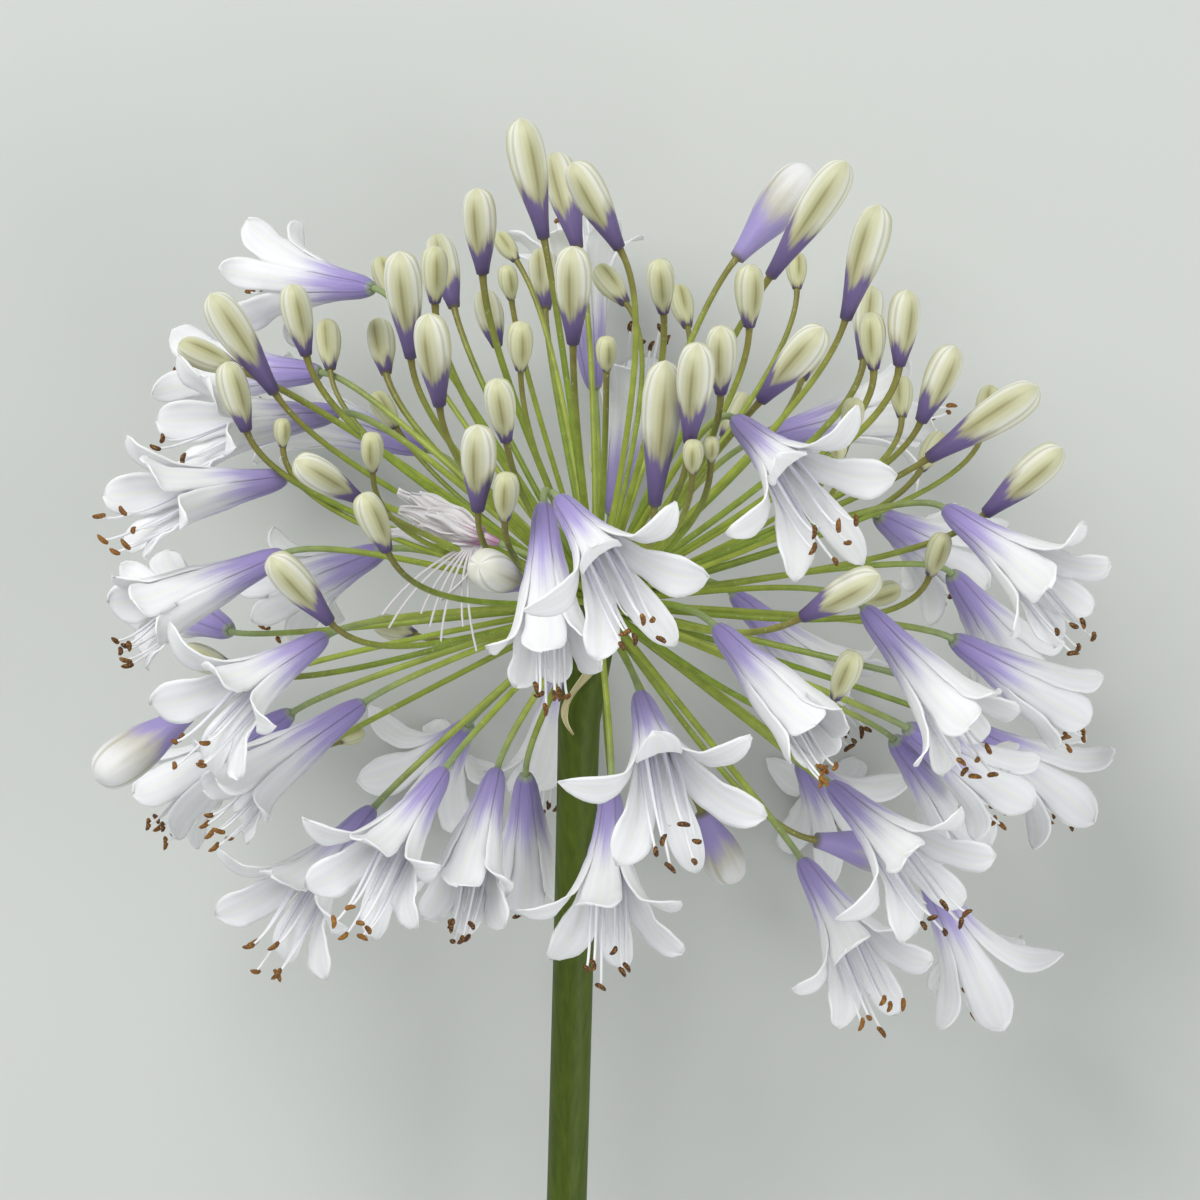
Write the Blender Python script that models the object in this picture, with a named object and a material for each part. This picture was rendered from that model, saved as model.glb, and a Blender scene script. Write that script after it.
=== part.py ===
"""Agapanthus flower head on its cut stalk, lying on a surface.

The stalk lies along Y with its cut end towards -Y, and the head is at +Y. +Z is up.
Lengths in this file are millimetres from the hub, and the meshes are made in metres.
"""
import math
import random

import bmesh
import bpy
import numpy as np

MM = 0.001
SEED = 7
SEAT_GAP = 0.3
SURFACE_CLEARANCE = 0.5

# Where the hub stands, with the origin under the middle of the whole object.
HUB_PLACE = np.array((-3.97, 93.43, 78.5))
# The head is drawn as seen from straight above, from this height over the hub.
EYE_HEIGHT = 1100.0

HUB_RADIUS = 8.0
SCAPE_LENGTH = 285.0
SCAPE_RADIUS = 4.4
SCAPE_LEAN = 0.026
SCAPE_STEP = 3.2
SCAPE_SIDES = 12

PEDICEL_REACH = 72.0
PEDICEL_RADIUS = 0.95
PEDICEL_ROOT = 5.0
PEDICEL_STATIONS = (0.34, 0.45, 0.56, 0.67, 0.78, 0.88, 0.97)
FLOWER_BEND = 9.0
BUD_BEND = 14.0

BLOOM_LENGTH = 39.0
MOUTH_HEIGHT = 36.3
TUBE_LENGTH = 15.0
TUBE_RADIUS = 4.2
TUBE_PROFILE = ((0.0, 1.3), (3.5, 2.4), (9.5, 3.3))
THROAT_DEPTH = 8.0
TEPAL_WIDTH = 9.4
OUTER_TEPAL_WIDTH = 7.8
TEPAL_THICKNESS = 0.8
LOBES = 6
WILTED_LENGTH = 21.0

BUD_WIDTH = 8.8
BUD_WIDENING = 11.5
SEPARATE_BUD = 20.5
BUD_FOOT_RADIUS = 1.45
BUD_SIDES = 6
SMALL_BUD_SIDES = 5

# Middle of the dry sheath's strip and half its width, from its foot to its free end.
SPATHE_LINE = (
    (-1.4, -14.2, 1.7, 0.8),
    (-5.2, -18.6, 1.0, 0.9),
    (-6.7, -21.8, 1.6, 0.8),
    (-6.3, -25.2, 2.6, 0.7),
    (-4.9, -27.6, 3.0, 0.5),
)
SPATHE_THICKNESS = 0.7

CLEARANCE = 0.8
SETTLE_ROUNDS = 220

# Open flowers: foot across and up, mouth across and up, depth of the foot,
# mouth nearer (1) or farther (-1) than the foot, and how wide the mouth is.
SEEN_BLOOMS = (
    (-47, 66, -72, 69, -10, -1, 0.80),
    (-56, 48, -84, 48, -25, -1, 0.75),
    (-53, 41, -81, 31, -2, 1, 0.75),
    (-66, 31, -94, 16, 15, 1, 0.65),
    (-66, 13, -98, 3, 20, 1, 0.45),
    (-57, -7, -82, -24, 35, 1, 0.85),
    (-49, -21, -78, -42, 18, 1, 0.55),
    (-47, -43, -67, -66, 4, 1, 1.00),
    (-32, -35, -48, -59, 30, 1, 0.80),
    (-26, -26, -28, -36, -38, -1, 0.90),
    (-21, -35, -28, -62, 10, 1, 0.45),
    (-15, -36, -15, -61, -12, -1, 0.35),
    (3, -39, 2, -70, 14, 1, 0.90),
    (9, -19, 16, -43, 50, 1, 1.10),
    (-12, 21, -10, -13, 58, 1, 0.50),
    (-8, 22, 8, 1, 68, 1, 1.05),
    (29, 39, 47, 20, 45, 1, 1.10),
    (25, -5, 46, -28, 50, 1, 0.25),
    (56, -1, 79, -28, 35, 1, 0.60),
    (73, 20, 97, 1, 20, 1, 0.65),
    (74, 8, 90, -10, -20, -1, 0.60),
    (74, -8, 99, -25, 5, -1, 0.40),
    (49, -38, 70, -58, 35, 1, 0.90),
    (43, -54, 58, -78, 8, 1, 0.80),
    (63, -29, 77, -46, -8, -1, 0.60),
    (65, -26, 87, -37, 14, -1, 0.55),
    (69, -57, 83, -81, -12, -1, 0.85),
    (76, -28, 98, -41, -20, -1, 0.75),
    (43, -33, 49, -41, -38, -1, 0.95),
    (59, 18, 76, 6, -18, -1, 0.75),
    (-77, -7, -95, 0, -8, -1, 0.50),
    (-45, 11, -68, 2, -12, -1, 0.60),
    (-64, -23, -92, -42, -4, -1, 0.65),
)

# Open flowers under the head: foot across and up, depth, then the way the mouth faces.
UNDER_BLOOMS = (
    (-38, 34, -50, -38, 12, -4),
    (36, 36, -50, 40, 10, -4),
    (0, 46, -48, -6, 38, -2),
    (-8, -6, -66, -12, -36, 2),
    (30, 2, -62, 28, -26, 2),
    (2, 20, -64, 6, 34, 2),
)
# These flowers touch the surface, with the cut end of the stalk.
RESTING = ("bloom_10", "bloom_29", "bloom_39")

# A spent flower caught among the pedicels: foot across and up, tip across and up, depth.
WILTED = (-21, 12, -41, 19, 31)
# A pedicel that has lost its flower: end across and up, and depth.
STUB = (64, -15, 22)
# A bud that points at the viewer: foot across and up, tip across and up, depth and rise.
FACING_BUD = (-15, 5, -24, 9, 52, 20)

# Buds: foot across and up, tip across and up, and how near (to 1) or far (to -1) they stand.
SEEN_BUDS = (
    (-11, 76, -16, 101, 1),
    (-4, 74, -9, 95, -1),
    (5, 74, -5, 92, 1),
    (-24, 69, -25, 87, 1),
    (-17, 72, -21, 78, -1),
    (-30, 62, -34, 78, -1),
    (-34, 63, -34, 75, 1),
    (-39, 51, -41, 73, 1),
    (-43, 64, -46, 73, -1),
    (-61, 52, -64, 67, 1),
    (-56, 49, -57, 60, -1),
    (-45, 48, -47, 60, -1),
    (-33, 41, -35, 60, 1),
    (-21, 54, -24, 66, -1),
    (-18, 64, -19, 71, 1),
    (-10, 62, -10, 75, -1),
    (-5, 54, -5, 74, 1),
    (6, 63, 0, 71, -1),
    (2, 49, 2, 56, 1),
    (-16, 49, -16, 59, 1),
    (-19, 34, -21, 47, 1),
    (-24, 19, -24, 37, 1),
    (-20, 17, -20, 27, 1),
    (14, 61, 13, 72, 1),
    (19, 58, 17, 67, -1),
    (32, 58, 32, 71, 1),
    (29, 72, 45, 92, -1),
    (36, 68, 52, 92, 1),
    (52, 59, 59, 83, 1),
    (26, 44, 26, 58, 1),
    (13, 20, 16, 50, 0.8),
    (18, 32, 20, 53, 1),
    (34, 42, 47, 57, 1),
    (43, 47, 46, 57, -1),
    (56, 51, 58, 67, -1),
    (62, 50, 64, 66, 1),
    (59, 49, 59, 61, 1),
    (42, 66, 42, 74, -1),
    (68, 38, 75, 54, 1),
    (53, 35, 54, 43, 1),
    (64, 39, 64, 48, -1),
    (51, 30, 50, 36, 1),
    (69, 30, 92, 45, 1),
    (81, 36, 83, 46, -1),
    (68, 28, 73, 36, -1),
    (81, 18, 97, 32, 1),
    (20, 28, 20, 35, 1),
    (24, 30, 24, 35, 1),
    (-47, 28, -47, 36, 1),
    (-66, 33, -66, 39, 1),
    (-74, 36, -77, 51, 1),
    (-68, 43, -81, 64, 1),
    (-76, 44, -89, 50, 0.4),
    (-50, 22, -63, 30, 1),
    (-44, 11, -49, 23, 1),
    (-56, -4, -68, 10, 1),
    (-76, -14, -87, -8, -1),
    (43, -3, 59, 6, 1),
    (50, -20, 54, -10, 1),
    (70, 6, 73, 15, 1),
    (0, 27, 0, 32, -1),
    (-84, -22, -105, -37, 0.6),
    (-54, -29, -49, -27, -1),
    (22, -44, 29, -59, -1),
    (46, -49, 71, -48, -1),
)
HIDDEN_BUDS = 5
# The ripest of these buds, by their feet, are about to open and stouter than the rest,
# as is the one that points at the viewer.
RIPE_BUDS = ((29, 72), (22, -44), (46, -49), (-84, -22))
RIPE_SWELL = 1.3


def unit(vectors):
    """Vectors of length one along the last axis."""
    return vectors / np.linalg.norm(vectors, axis=-1, keepdims=True)


def from_view(across, up, depth):
    """The point at this depth that is seen at (across, up) from above."""
    nearer = 1 - depth / EYE_HEIGHT
    return np.array((across * nearer, up * nearer, depth), dtype=float)


def lobe_curve(opening, q):
    """Radius and height of a tepal's middle, from the split (q = 0) to the tip (q = 1)."""
    radii = (TUBE_RADIUS, 5.0, 4.0 + 5.0 * opening, 3.0 + 14.0 * opening)
    heights = (TUBE_LENGTH, 22.0, 34.0 - opening, BLOOM_LENGTH - 2.5 * opening)
    weights = ((1 - q) ** 3, 3 * q * (1 - q) ** 2, 3 * q * q * (1 - q), q ** 3)
    radius = sum(w * r for w, r in zip(weights, radii))
    height = sum(w * h for w, h in zip(weights, heights))
    return radius, height


class Head:
    """One flower or bud on its pedicel: its foot, its far end and how wide it is open.

    Short buds are stout and long ones slender, so a bud's width follows from its length.
    """

    def __init__(self, kind, foot, toward, length, opening=0.0):
        self.kind = kind
        self.length = length
        self.opening = opening
        self.foot = foot
        self.end = foot + unit(toward) * length
        self.side = unit(np.cross(toward, (0.31, 0.17, 0.93)))
        self.bow = np.zeros(3)
        self.bend = FLOWER_BEND if kind == "bloom" else BUD_BEND
        self.width = BUD_WIDTH * (1 - math.exp(-length / BUD_WIDENING))

    def way(self):
        """The direction from the foot to the far end."""
        return unit(self.end - self.foot)

    def spheres(self):
        """Height, distance from the axis, angle and radius of spheres that fill the shape."""
        if self.kind != "bloom":
            shares = ((0.12, 0.4), (0.38, 0.85), (0.66, 1.0), (0.9, 0.7), (1.0, 0.25))
            return [(h * self.length, 0.0, 0.0, s * self.width / 2) for h, s in shares]
        found = [(3, 0, 0, 2.4), (9, 0, 0, 3.6), (15, 0, 0, 4.8), (21, 0, 0, 6.0), (31, 0, 0, 5.0)]
        for q, size in ((0.55, 4.2), (0.8, 4.6), (0.97, 2.8)):
            radius, height = lobe_curve(self.opening, q)
            for lobe in range(LOBES):
                found.append((height, radius, lobe * math.tau / LOBES, size))
        return found


def seen_heads():
    """Flowers and buds where they are seen."""
    heads = []
    for across, up, mouth_across, mouth_up, depth, side, opening in SEEN_BLOOMS:
        foot = from_view(across, up, depth)
        flat = from_view(mouth_across, mouth_up, depth) - foot
        run = min(np.linalg.norm(flat), MOUTH_HEIGHT)
        rise = side * math.sqrt(MOUTH_HEIGHT ** 2 - run ** 2)
        heads.append(Head("bloom", foot, flat + (0, 0, rise), BLOOM_LENGTH, opening))
    for across, up, depth, *facing in UNDER_BLOOMS:
        foot = np.array((across, up, depth), dtype=float)
        heads.append(Head("bloom", foot, np.array(facing, dtype=float), BLOOM_LENGTH, 0.8))
    for across, up, tip_across, tip_up, side in SEEN_BUDS:
        out = math.hypot(across, up)
        reach = max(PEDICEL_REACH, out + 3.0)
        depth = side * math.sqrt(reach ** 2 - out ** 2)
        foot = from_view(across, up, depth)
        flat = from_view(tip_across, tip_up, depth) - foot
        run = np.linalg.norm(flat)
        rise = side * run * min(0.55, abs(depth) / max(out, 1.0))
        heads.append(Head("bud", foot, flat + (0, 0, rise), math.hypot(run, rise)))
        if (across, up) in RIPE_BUDS:
            heads[-1].width *= RIPE_SWELL
    across, up, tip_across, tip_up, depth, rise = FACING_BUD
    foot = from_view(across, up, depth)
    toward = from_view(tip_across, tip_up, depth + rise) - foot
    heads.append(Head("bud", foot, toward, np.linalg.norm(toward)))
    heads[-1].width *= RIPE_SWELL
    across, up, tip_across, tip_up, depth = WILTED
    foot = from_view(across, up, depth)
    heads.append(Head("wilted", foot, from_view(tip_across, tip_up, depth) - foot, WILTED_LENGTH, 0.35))
    foot = from_view(*STUB)
    heads.append(Head("stub", foot, foot, 2.0))
    return heads


def hidden_heads(rng):
    """Small buds on the far side, spread by the golden angle."""
    heads = []
    for i in range(HIDDEN_BUDS):
        angle = i * math.pi * (3 - math.sqrt(5))
        depth = -0.25 - 0.5 * (i + 0.5) / HIDDEN_BUDS
        flat = math.sqrt(1 - depth ** 2)
        way = np.array((flat * math.cos(angle), flat * math.sin(angle), depth))
        lift = np.array((0.0, 0.35, 0.25))
        heads.append(Head("bud", way * rng.uniform(56, 64), way + lift, rng.uniform(9, 14)))
    return heads


def pedicel_controls(foot, end, bow, bend):
    """Control points of a pedicel: straight out from the hub, then bent into its flower."""
    last = foot - unit(end - foot) * bend
    return np.zeros_like(foot), 0.6 * last + bow, last + bow, foot


def curve_point(controls, s):
    """Point of the cubic curve at s."""
    a, b, c, d = controls
    return (1 - s) ** 3 * a + 3 * s * (1 - s) ** 2 * b + 3 * s * s * (1 - s) * c + s ** 3 * d


def settle(heads, rounds):
    """Push flowers, buds and pedicels apart until none touches another, and off the surface."""
    foot = np.array([h.foot for h in heads])
    end = np.array([h.end for h in heads])
    bow = np.array([h.bow for h in heads])
    bend = np.array([h.bend for h in heads])[:, None]
    length = np.array([h.length for h in heads])[:, None]
    side = np.array([h.side for h in heads])
    home_foot, home_end = foot.copy(), end.copy()
    rows = np.array([(i, *s) for i, h in enumerate(heads) for s in h.spheres()])
    owner = rows[:, 0].astype(int)
    height, ring, angle, size = (rows[:, k:k + 1] for k in range(1, 5))
    stem_owner = np.repeat(np.arange(len(heads)), len(PEDICEL_STATIONS))
    stem_s = np.tile(PEDICEL_STATIONS, len(heads))[:, None]
    all_owner = np.concatenate((owner, stem_owner))
    all_size = np.concatenate((size[:, 0], np.full(len(stem_owner), PEDICEL_RADIUS + 0.3)))
    is_head = np.arange(len(all_owner)) < len(owner)
    others = all_owner[:, None] != all_owner[None, :]
    first, second = np.nonzero(np.triu(others & (is_head[:, None] | is_head[None, :])))
    touch = all_size[first] + all_size[second] + CLEARANCE
    lowest = -HUB_PLACE[2] + 0.8
    for _ in range(rounds):
        way = unit(end - foot)
        u = unit(side - (side * way).sum(1)[:, None] * way)
        v = np.cross(way, u)
        out = np.cos(angle) * u[owner] + np.sin(angle) * v[owner]
        controls = pedicel_controls(foot[stem_owner], end[stem_owner], bow[stem_owner], bend[stem_owner])
        points = np.concatenate((
            foot[owner] + way[owner] * height + out * ring,
            curve_point(controls, stem_s),
        ))
        gap = points[first] - points[second]
        distance = np.sqrt((gap * gap).sum(1))
        near = distance < touch
        a, b = first[near], second[near]
        share = ((touch[near] - distance[near]) / (distance[near] + 1e-9))[:, None] * gap[near]
        push = np.zeros_like(points)
        count = np.ones(len(points))
        np.add.at(push, a, share * 0.5)
        np.add.at(push, b, -share * 0.5)
        np.add.at(count, a, 1)
        np.add.at(count, b, 1)
        push /= np.maximum(count - 1, 1)[:, None]
        sunk = lowest + all_size - points[:, 2]
        push[:, 2] += np.where((sunk > 0) & is_head, sunk, 0) * 0.5
        move_foot, move_end, move_bow = np.zeros_like(foot), np.zeros_like(end), np.zeros_like(bow)
        along = height / length[owner]
        np.add.at(move_foot, owner, push[is_head] * (1 - along))
        np.add.at(move_end, owner, push[is_head] * along)
        np.add.at(move_bow, stem_owner, push[~is_head] * 0.6)
        np.add.at(move_foot, stem_owner, push[~is_head] * stem_s ** 3 * 0.5)
        np.add.at(move_end, stem_owner, push[~is_head] * stem_s ** 3 * 0.5)
        foot += 0.45 * move_foot + 0.01 * (home_foot - foot)
        end += 0.45 * move_end + 0.01 * (home_end - end)
        bow += 0.45 * move_bow - 0.01 * bow
        end = foot + unit(end - foot) * length
    for i, head in enumerate(heads):
        head.foot, head.end, head.bow = foot[i], end[i], bow[i]
        way = head.way()
        head.side = unit(side[i] - side[i].dot(way) * way)


def placed(local, head, start=0.0):
    """Points given as side, other side and height, set on the head's foot."""
    way = head.way()
    other = np.cross(way, head.side)
    local = np.asarray(local)
    points = head.foot + local[:, :1] * head.side + local[:, 1:2] * other + (local[:, 2:] + start) * way
    return points + HUB_PLACE


def ring_points(radius, height, sides):
    """Points of one round section."""
    angles = [i * math.tau / sides for i in range(sides)]
    return [(radius * math.cos(a), radius * math.sin(a), height) for a in angles]


def side_faces(sides, rings):
    """Faces round a body of equal sections."""
    faces = []
    for j in range(rings - 1):
        for i in range(sides):
            a, b = j * sides + i, j * sides + (i + 1) % sides
            faces += [(a, b, b + sides), (a, b + sides, a + sides)]
    return faces


def foot_face(sides):
    """The flat face at a body's foot."""
    return tuple(reversed(range(sides)))


def tepal_points(angle, opening, flare, breadth, scale):
    """Sections of one tepal, each with its outer edge points and then its inner ones."""
    points = []
    for q, width in ((0.0, 3.9), (0.38, 6.4), (0.72, breadth), (1.0, 3.0)):
        radius, height = lobe_curve(flare if q else opening, q)
        ahead, behind = lobe_curve(flare, min(q + 0.04, 1.0)), lobe_curve(flare, max(q - 0.04, 0.0))
        slope = unit(np.array((ahead[0] - behind[0], ahead[1] - behind[1]))) if q else (0.0, 1.0)
        room = 2 * (radius * scale - TEPAL_THICKNESS) * math.tan(math.pi / LOBES) * 0.93
        half = min(width * scale, room) / 2
        for face in (TEPAL_THICKNESS / 2, -TEPAL_THICKNESS / 2):
            r = radius * scale + face * slope[1]
            h = height * scale - face * slope[0]
            for edge in (-half, half):
                points.append((
                    r * math.cos(angle) - edge * math.sin(angle),
                    r * math.sin(angle) + edge * math.cos(angle),
                    h,
                ))
    return points


def bloom_mesh(length, opening, rng):
    """A funnel: a solid tube with an open throat, then six free tepals in two layers."""
    scale = length / BLOOM_LENGTH
    points = []
    for height, radius in TUBE_PROFILE:
        points += ring_points(max(radius * scale, PEDICEL_RADIUS), height * scale, LOBES)
    faces = [foot_face(LOBES)] + side_faces(LOBES, len(TUBE_PROFILE))
    rim = len(points) - LOBES
    throat = len(points)
    points.append((0.0, 0.0, THROAT_DEPTH * scale))
    starts = []
    for lobe in range(LOBES):
        flare = opening * rng.uniform(0.93, 1.07)
        breadth = TEPAL_WIDTH if lobe % 2 else OUTER_TEPAL_WIDTH
        starts.append(len(points))
        points += tepal_points(lobe * math.tau / LOBES, opening, flare, breadth, scale)
    for lobe in range(LOBES):
        after = (lobe + 1) % LOBES
        s, n = starts[lobe], starts[after]
        faces += [(rim + lobe, s + 1, s), (rim + lobe, rim + after, s + 1), (rim + after, n, s + 1)]
        faces += [(s + 1, n, n + 2), (s + 1, n + 2, s + 3)]
        faces += [(throat, s + 2, s + 3), (throat, s + 3, n + 2)]
        for a in (s, s + 4, s + 8):
            b = a + 4
            faces += [(a, a + 1, b + 1), (a, b + 1, b)]
            faces += [(a + 3, a + 2, b + 3), (a + 2, b + 2, b + 3)]
            faces += [(a + 1, a + 3, b + 3), (a + 1, b + 3, b + 1)]
            faces += [(a + 2, a, b), (a + 2, b, b + 2)]
        faces += [(s + 12, s + 13, s + 15), (s + 12, s + 15, s + 14)]
    return points, faces


def bud_mesh(head, sides):
    """A closed bud: a narrow tube, a swollen middle and a blunt tip."""
    length, half = head.length, head.width / 2
    slender = min(max((length - 8) / 18, 0), 1)
    profile = [(0.0, 0.3), (0.46 + 0.12 * slender, 0.98), (0.79, 0.95), (0.93, 0.64)]
    if length >= SEPARATE_BUD:
        profile.insert(1, (0.22, 0.5))
    points = []
    for share, width in profile:
        points += ring_points(max(half * width, BUD_FOOT_RADIUS), share * length, sides)
    faces = side_faces(sides, len(profile)) + [foot_face(sides)]
    top = len(points) - sides
    points.append((0.0, 0.0, length))
    faces += [(top + i, top + (i + 1) % sides, len(points) - 1) for i in range(sides)]
    return points, faces


def tube_mesh(centres, radii, sides):
    """A tube through the centres, with flat ends square to its run."""
    centres = np.asarray(centres)
    runs = unit(np.gradient(centres, axis=0))
    runs[-1] = unit(centres[-1] - centres[-2])
    side = unit(np.cross(runs[0], (0.2, 0.3, 0.93)))
    points = []
    for centre, run, radius in zip(centres, runs, radii):
        side = unit(side - side.dot(run) * run)
        other = np.cross(run, side)
        for i in range(sides):
            a = i * math.tau / sides
            points.append(centre + radius * (math.cos(a) * side + math.sin(a) * other))
    faces = side_faces(sides, len(centres)) + [foot_face(sides)]
    last = len(points) - sides
    faces.append(tuple(last + i for i in range(sides)))
    return np.array(points) + HUB_PLACE, faces


def pedicel_mesh(head, sunk):
    """A three-sided pedicel from inside the hub to a flower's foot, or sunk into a small bud."""
    controls = pedicel_controls(head.foot, head.end, head.bow, head.bend)
    centres = [unit(controls[1]) * PEDICEL_ROOT]
    centres += [curve_point(controls, s) for s in (0.45, 0.8)]
    if head.kind == "bloom":
        centres.append(head.foot - head.way() * 1.5)
    centres.append(head.foot + head.way() * sunk)
    radii = [PEDICEL_RADIUS * 0.75] + [PEDICEL_RADIUS * 0.95] * (len(centres) - 1)
    return tube_mesh(centres, radii, 3)


def scape_mesh():
    """The stalk below the hub, curved a little to one side, with its cut end on the surface."""
    centres, radii = [], []
    for share, swell in ((0.0, 1.15), (0.04, 1.15), (0.1, 1.03), (0.4, 1.0), (0.7, 1.0), (1.0, 1.0)):
        down = SCAPE_LENGTH * share
        aside = -SCAPE_STEP * min(down / 25.0, 1.0) - SCAPE_LEAN * down
        centres.append((aside, -down, -(HUB_PLACE[2] - SCAPE_RADIUS) * share))
        radii.append(SCAPE_RADIUS * swell)
    points, faces = tube_mesh(centres, radii, SCAPE_SIDES)
    points[:, 2] = np.maximum(points[:, 2], 0.0)
    return points, faces


def spathe_mesh():
    """The dry, curled rest of the sheath that once held the buds, on the front of the scape."""
    points = []
    for across, up, depth, half in SPATHE_LINE:
        for x, z in ((-half, 0.0), (half, 0.0), (half, SPATHE_THICKNESS), (-half, SPATHE_THICKNESS)):
            points.append((across + x, up, depth + z))
    faces = side_faces(4, len(SPATHE_LINE)) + [foot_face(4)]
    last = len(points) - 4
    faces.append(tuple(last + i for i in range(4)))
    return np.array(points) + HUB_PLACE, faces


def make_material(name, colour, roughness):
    """A plain Principled material."""
    material = bpy.data.materials.new(name)
    material.use_nodes = True
    shader = material.node_tree.nodes["Principled BSDF"]
    shader.inputs["Base Color"].default_value = (*colour, 1.0)
    shader.inputs["Roughness"].default_value = roughness
    return material


def make_object(name, shape, material, collection=None):
    """A named object from points in millimetres and faces."""
    points, faces = shape
    mesh = bpy.data.meshes.new(name)
    mesh.from_pydata([tuple(p) for p in np.asarray(points) * MM], [], faces)
    mesh.shade_smooth()
    mesh.set_sharp_from_angle(angle=math.radians(50))
    mesh.materials.append(material)
    thing = bpy.data.objects.new(name, mesh)
    (collection or bpy.context.scene.collection).objects.link(thing)
    return thing


def hub_mesh():
    """The rounded top of the scape, which every pedicel grows from."""
    ball = bmesh.new()
    bmesh.ops.create_icosphere(ball, subdivisions=2, radius=HUB_RADIUS)
    points = np.array([v.co for v in ball.verts]) + HUB_PLACE
    faces = [tuple(v.index for v in f.verts) for f in ball.faces]
    ball.free()
    return points, faces


def make_stalk(heads, green):
    """One body: the hub, with the scape, the pedicels and the small buds joined to it."""
    stalk = make_object("stalk", hub_mesh(), green)
    grown = bpy.data.collections.new("grown from the hub")
    bpy.context.scene.collection.children.link(grown)
    make_object("scape", scape_mesh(), green, grown)
    for i, head in enumerate(heads):
        small = head.kind == "bud" and head.length < SEPARATE_BUD
        make_object(f"pedicel_{i}", pedicel_mesh(head, 1.5 if small else 0.0), green, grown)
        if small:
            points, faces = bud_mesh(head, SMALL_BUD_SIDES)
            make_object(f"small_bud_{i}", (placed(points, head), faces), green, grown)
    union = stalk.modifiers.new("join", "BOOLEAN")
    union.operation = "UNION"
    union.operand_type = "COLLECTION"
    union.collection = grown
    union.solver = "MANIFOLD"
    bpy.context.view_layer.objects.active = stalk
    bpy.ops.object.modifier_apply(modifier=union.name)
    for part in list(grown.objects):
        bpy.data.objects.remove(part)
    bpy.data.collections.remove(grown)


def set_down(name, head, points):
    """A resting flower goes down to the surface, and any other is kept a little above it."""
    low = points[:, 2].min()
    drop = low if name in RESTING else min(low - SURFACE_CLEARANCE, 0.0)
    shift = np.array((0.0, 0.0, drop))
    head.foot = head.foot - shift
    head.end = head.end - shift
    return points - shift


def build():
    """Clear the scene and build every piece."""
    for thing in list(bpy.data.objects):
        bpy.data.objects.remove(thing)
    rng = random.Random(SEED)
    white = make_material("white tepal", (0.88, 0.87, 0.93), 0.55)
    cream = make_material("cream bud", (0.80, 0.80, 0.58), 0.5)
    green = make_material("green stalk", (0.20, 0.32, 0.05), 0.5)
    dry = make_material("dry sheath", (0.55, 0.42, 0.24), 0.8)
    faded = make_material("faded tepal", (0.75, 0.62, 0.66), 0.7)
    heads = seen_heads() + hidden_heads(rng)
    settle(heads, SETTLE_ROUNDS)
    counts = {"bloom": 0, "bud": 0}
    for head in heads:
        if head.kind == "bloom":
            counts["bloom"] += 1
            name = f"bloom_{counts['bloom']:02d}"
            points, faces = bloom_mesh(head.length, head.opening, rng)
            points = set_down(name, head, placed(points, head, SEAT_GAP))
            make_object(name, (points, faces), white)
        elif head.kind == "bud" and head.length >= SEPARATE_BUD:
            counts["bud"] += 1
            points, faces = bud_mesh(head, BUD_SIDES)
            make_object(f"bud_{counts['bud']:02d}", (placed(points, head, SEAT_GAP), faces), cream)
        elif head.kind == "wilted":
            points, faces = bloom_mesh(head.length, head.opening, rng)
            make_object("wilted_bloom", (placed(points, head, SEAT_GAP), faces), faded)
    make_stalk(heads, green)
    make_object("spathe_remnant", spathe_mesh(), dry)


build()
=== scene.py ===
import math
import random

import bpy
import numpy as np
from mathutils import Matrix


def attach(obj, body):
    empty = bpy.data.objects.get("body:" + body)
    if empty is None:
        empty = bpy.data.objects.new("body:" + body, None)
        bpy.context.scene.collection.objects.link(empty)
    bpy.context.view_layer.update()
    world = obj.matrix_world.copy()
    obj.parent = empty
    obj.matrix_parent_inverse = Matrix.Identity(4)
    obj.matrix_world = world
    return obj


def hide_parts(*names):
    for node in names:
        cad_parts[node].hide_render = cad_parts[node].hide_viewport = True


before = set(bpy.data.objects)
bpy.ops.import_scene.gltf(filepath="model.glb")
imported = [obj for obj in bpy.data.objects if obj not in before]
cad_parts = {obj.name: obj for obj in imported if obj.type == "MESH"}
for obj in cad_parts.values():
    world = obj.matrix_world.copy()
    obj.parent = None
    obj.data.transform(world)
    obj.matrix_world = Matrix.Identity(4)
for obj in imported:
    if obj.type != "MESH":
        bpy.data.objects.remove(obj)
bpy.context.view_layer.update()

# Lengths are millimetres from the hub. X runs across the head, Y along the stalk, Z up.
hubPlace = np.array((-3.97, 93.43, 78.5))
eyeHeight = 1100.0
photoWidth = 252.0  # what the 1200 pixel frame spans at the hub's depth
seed = 7

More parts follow.
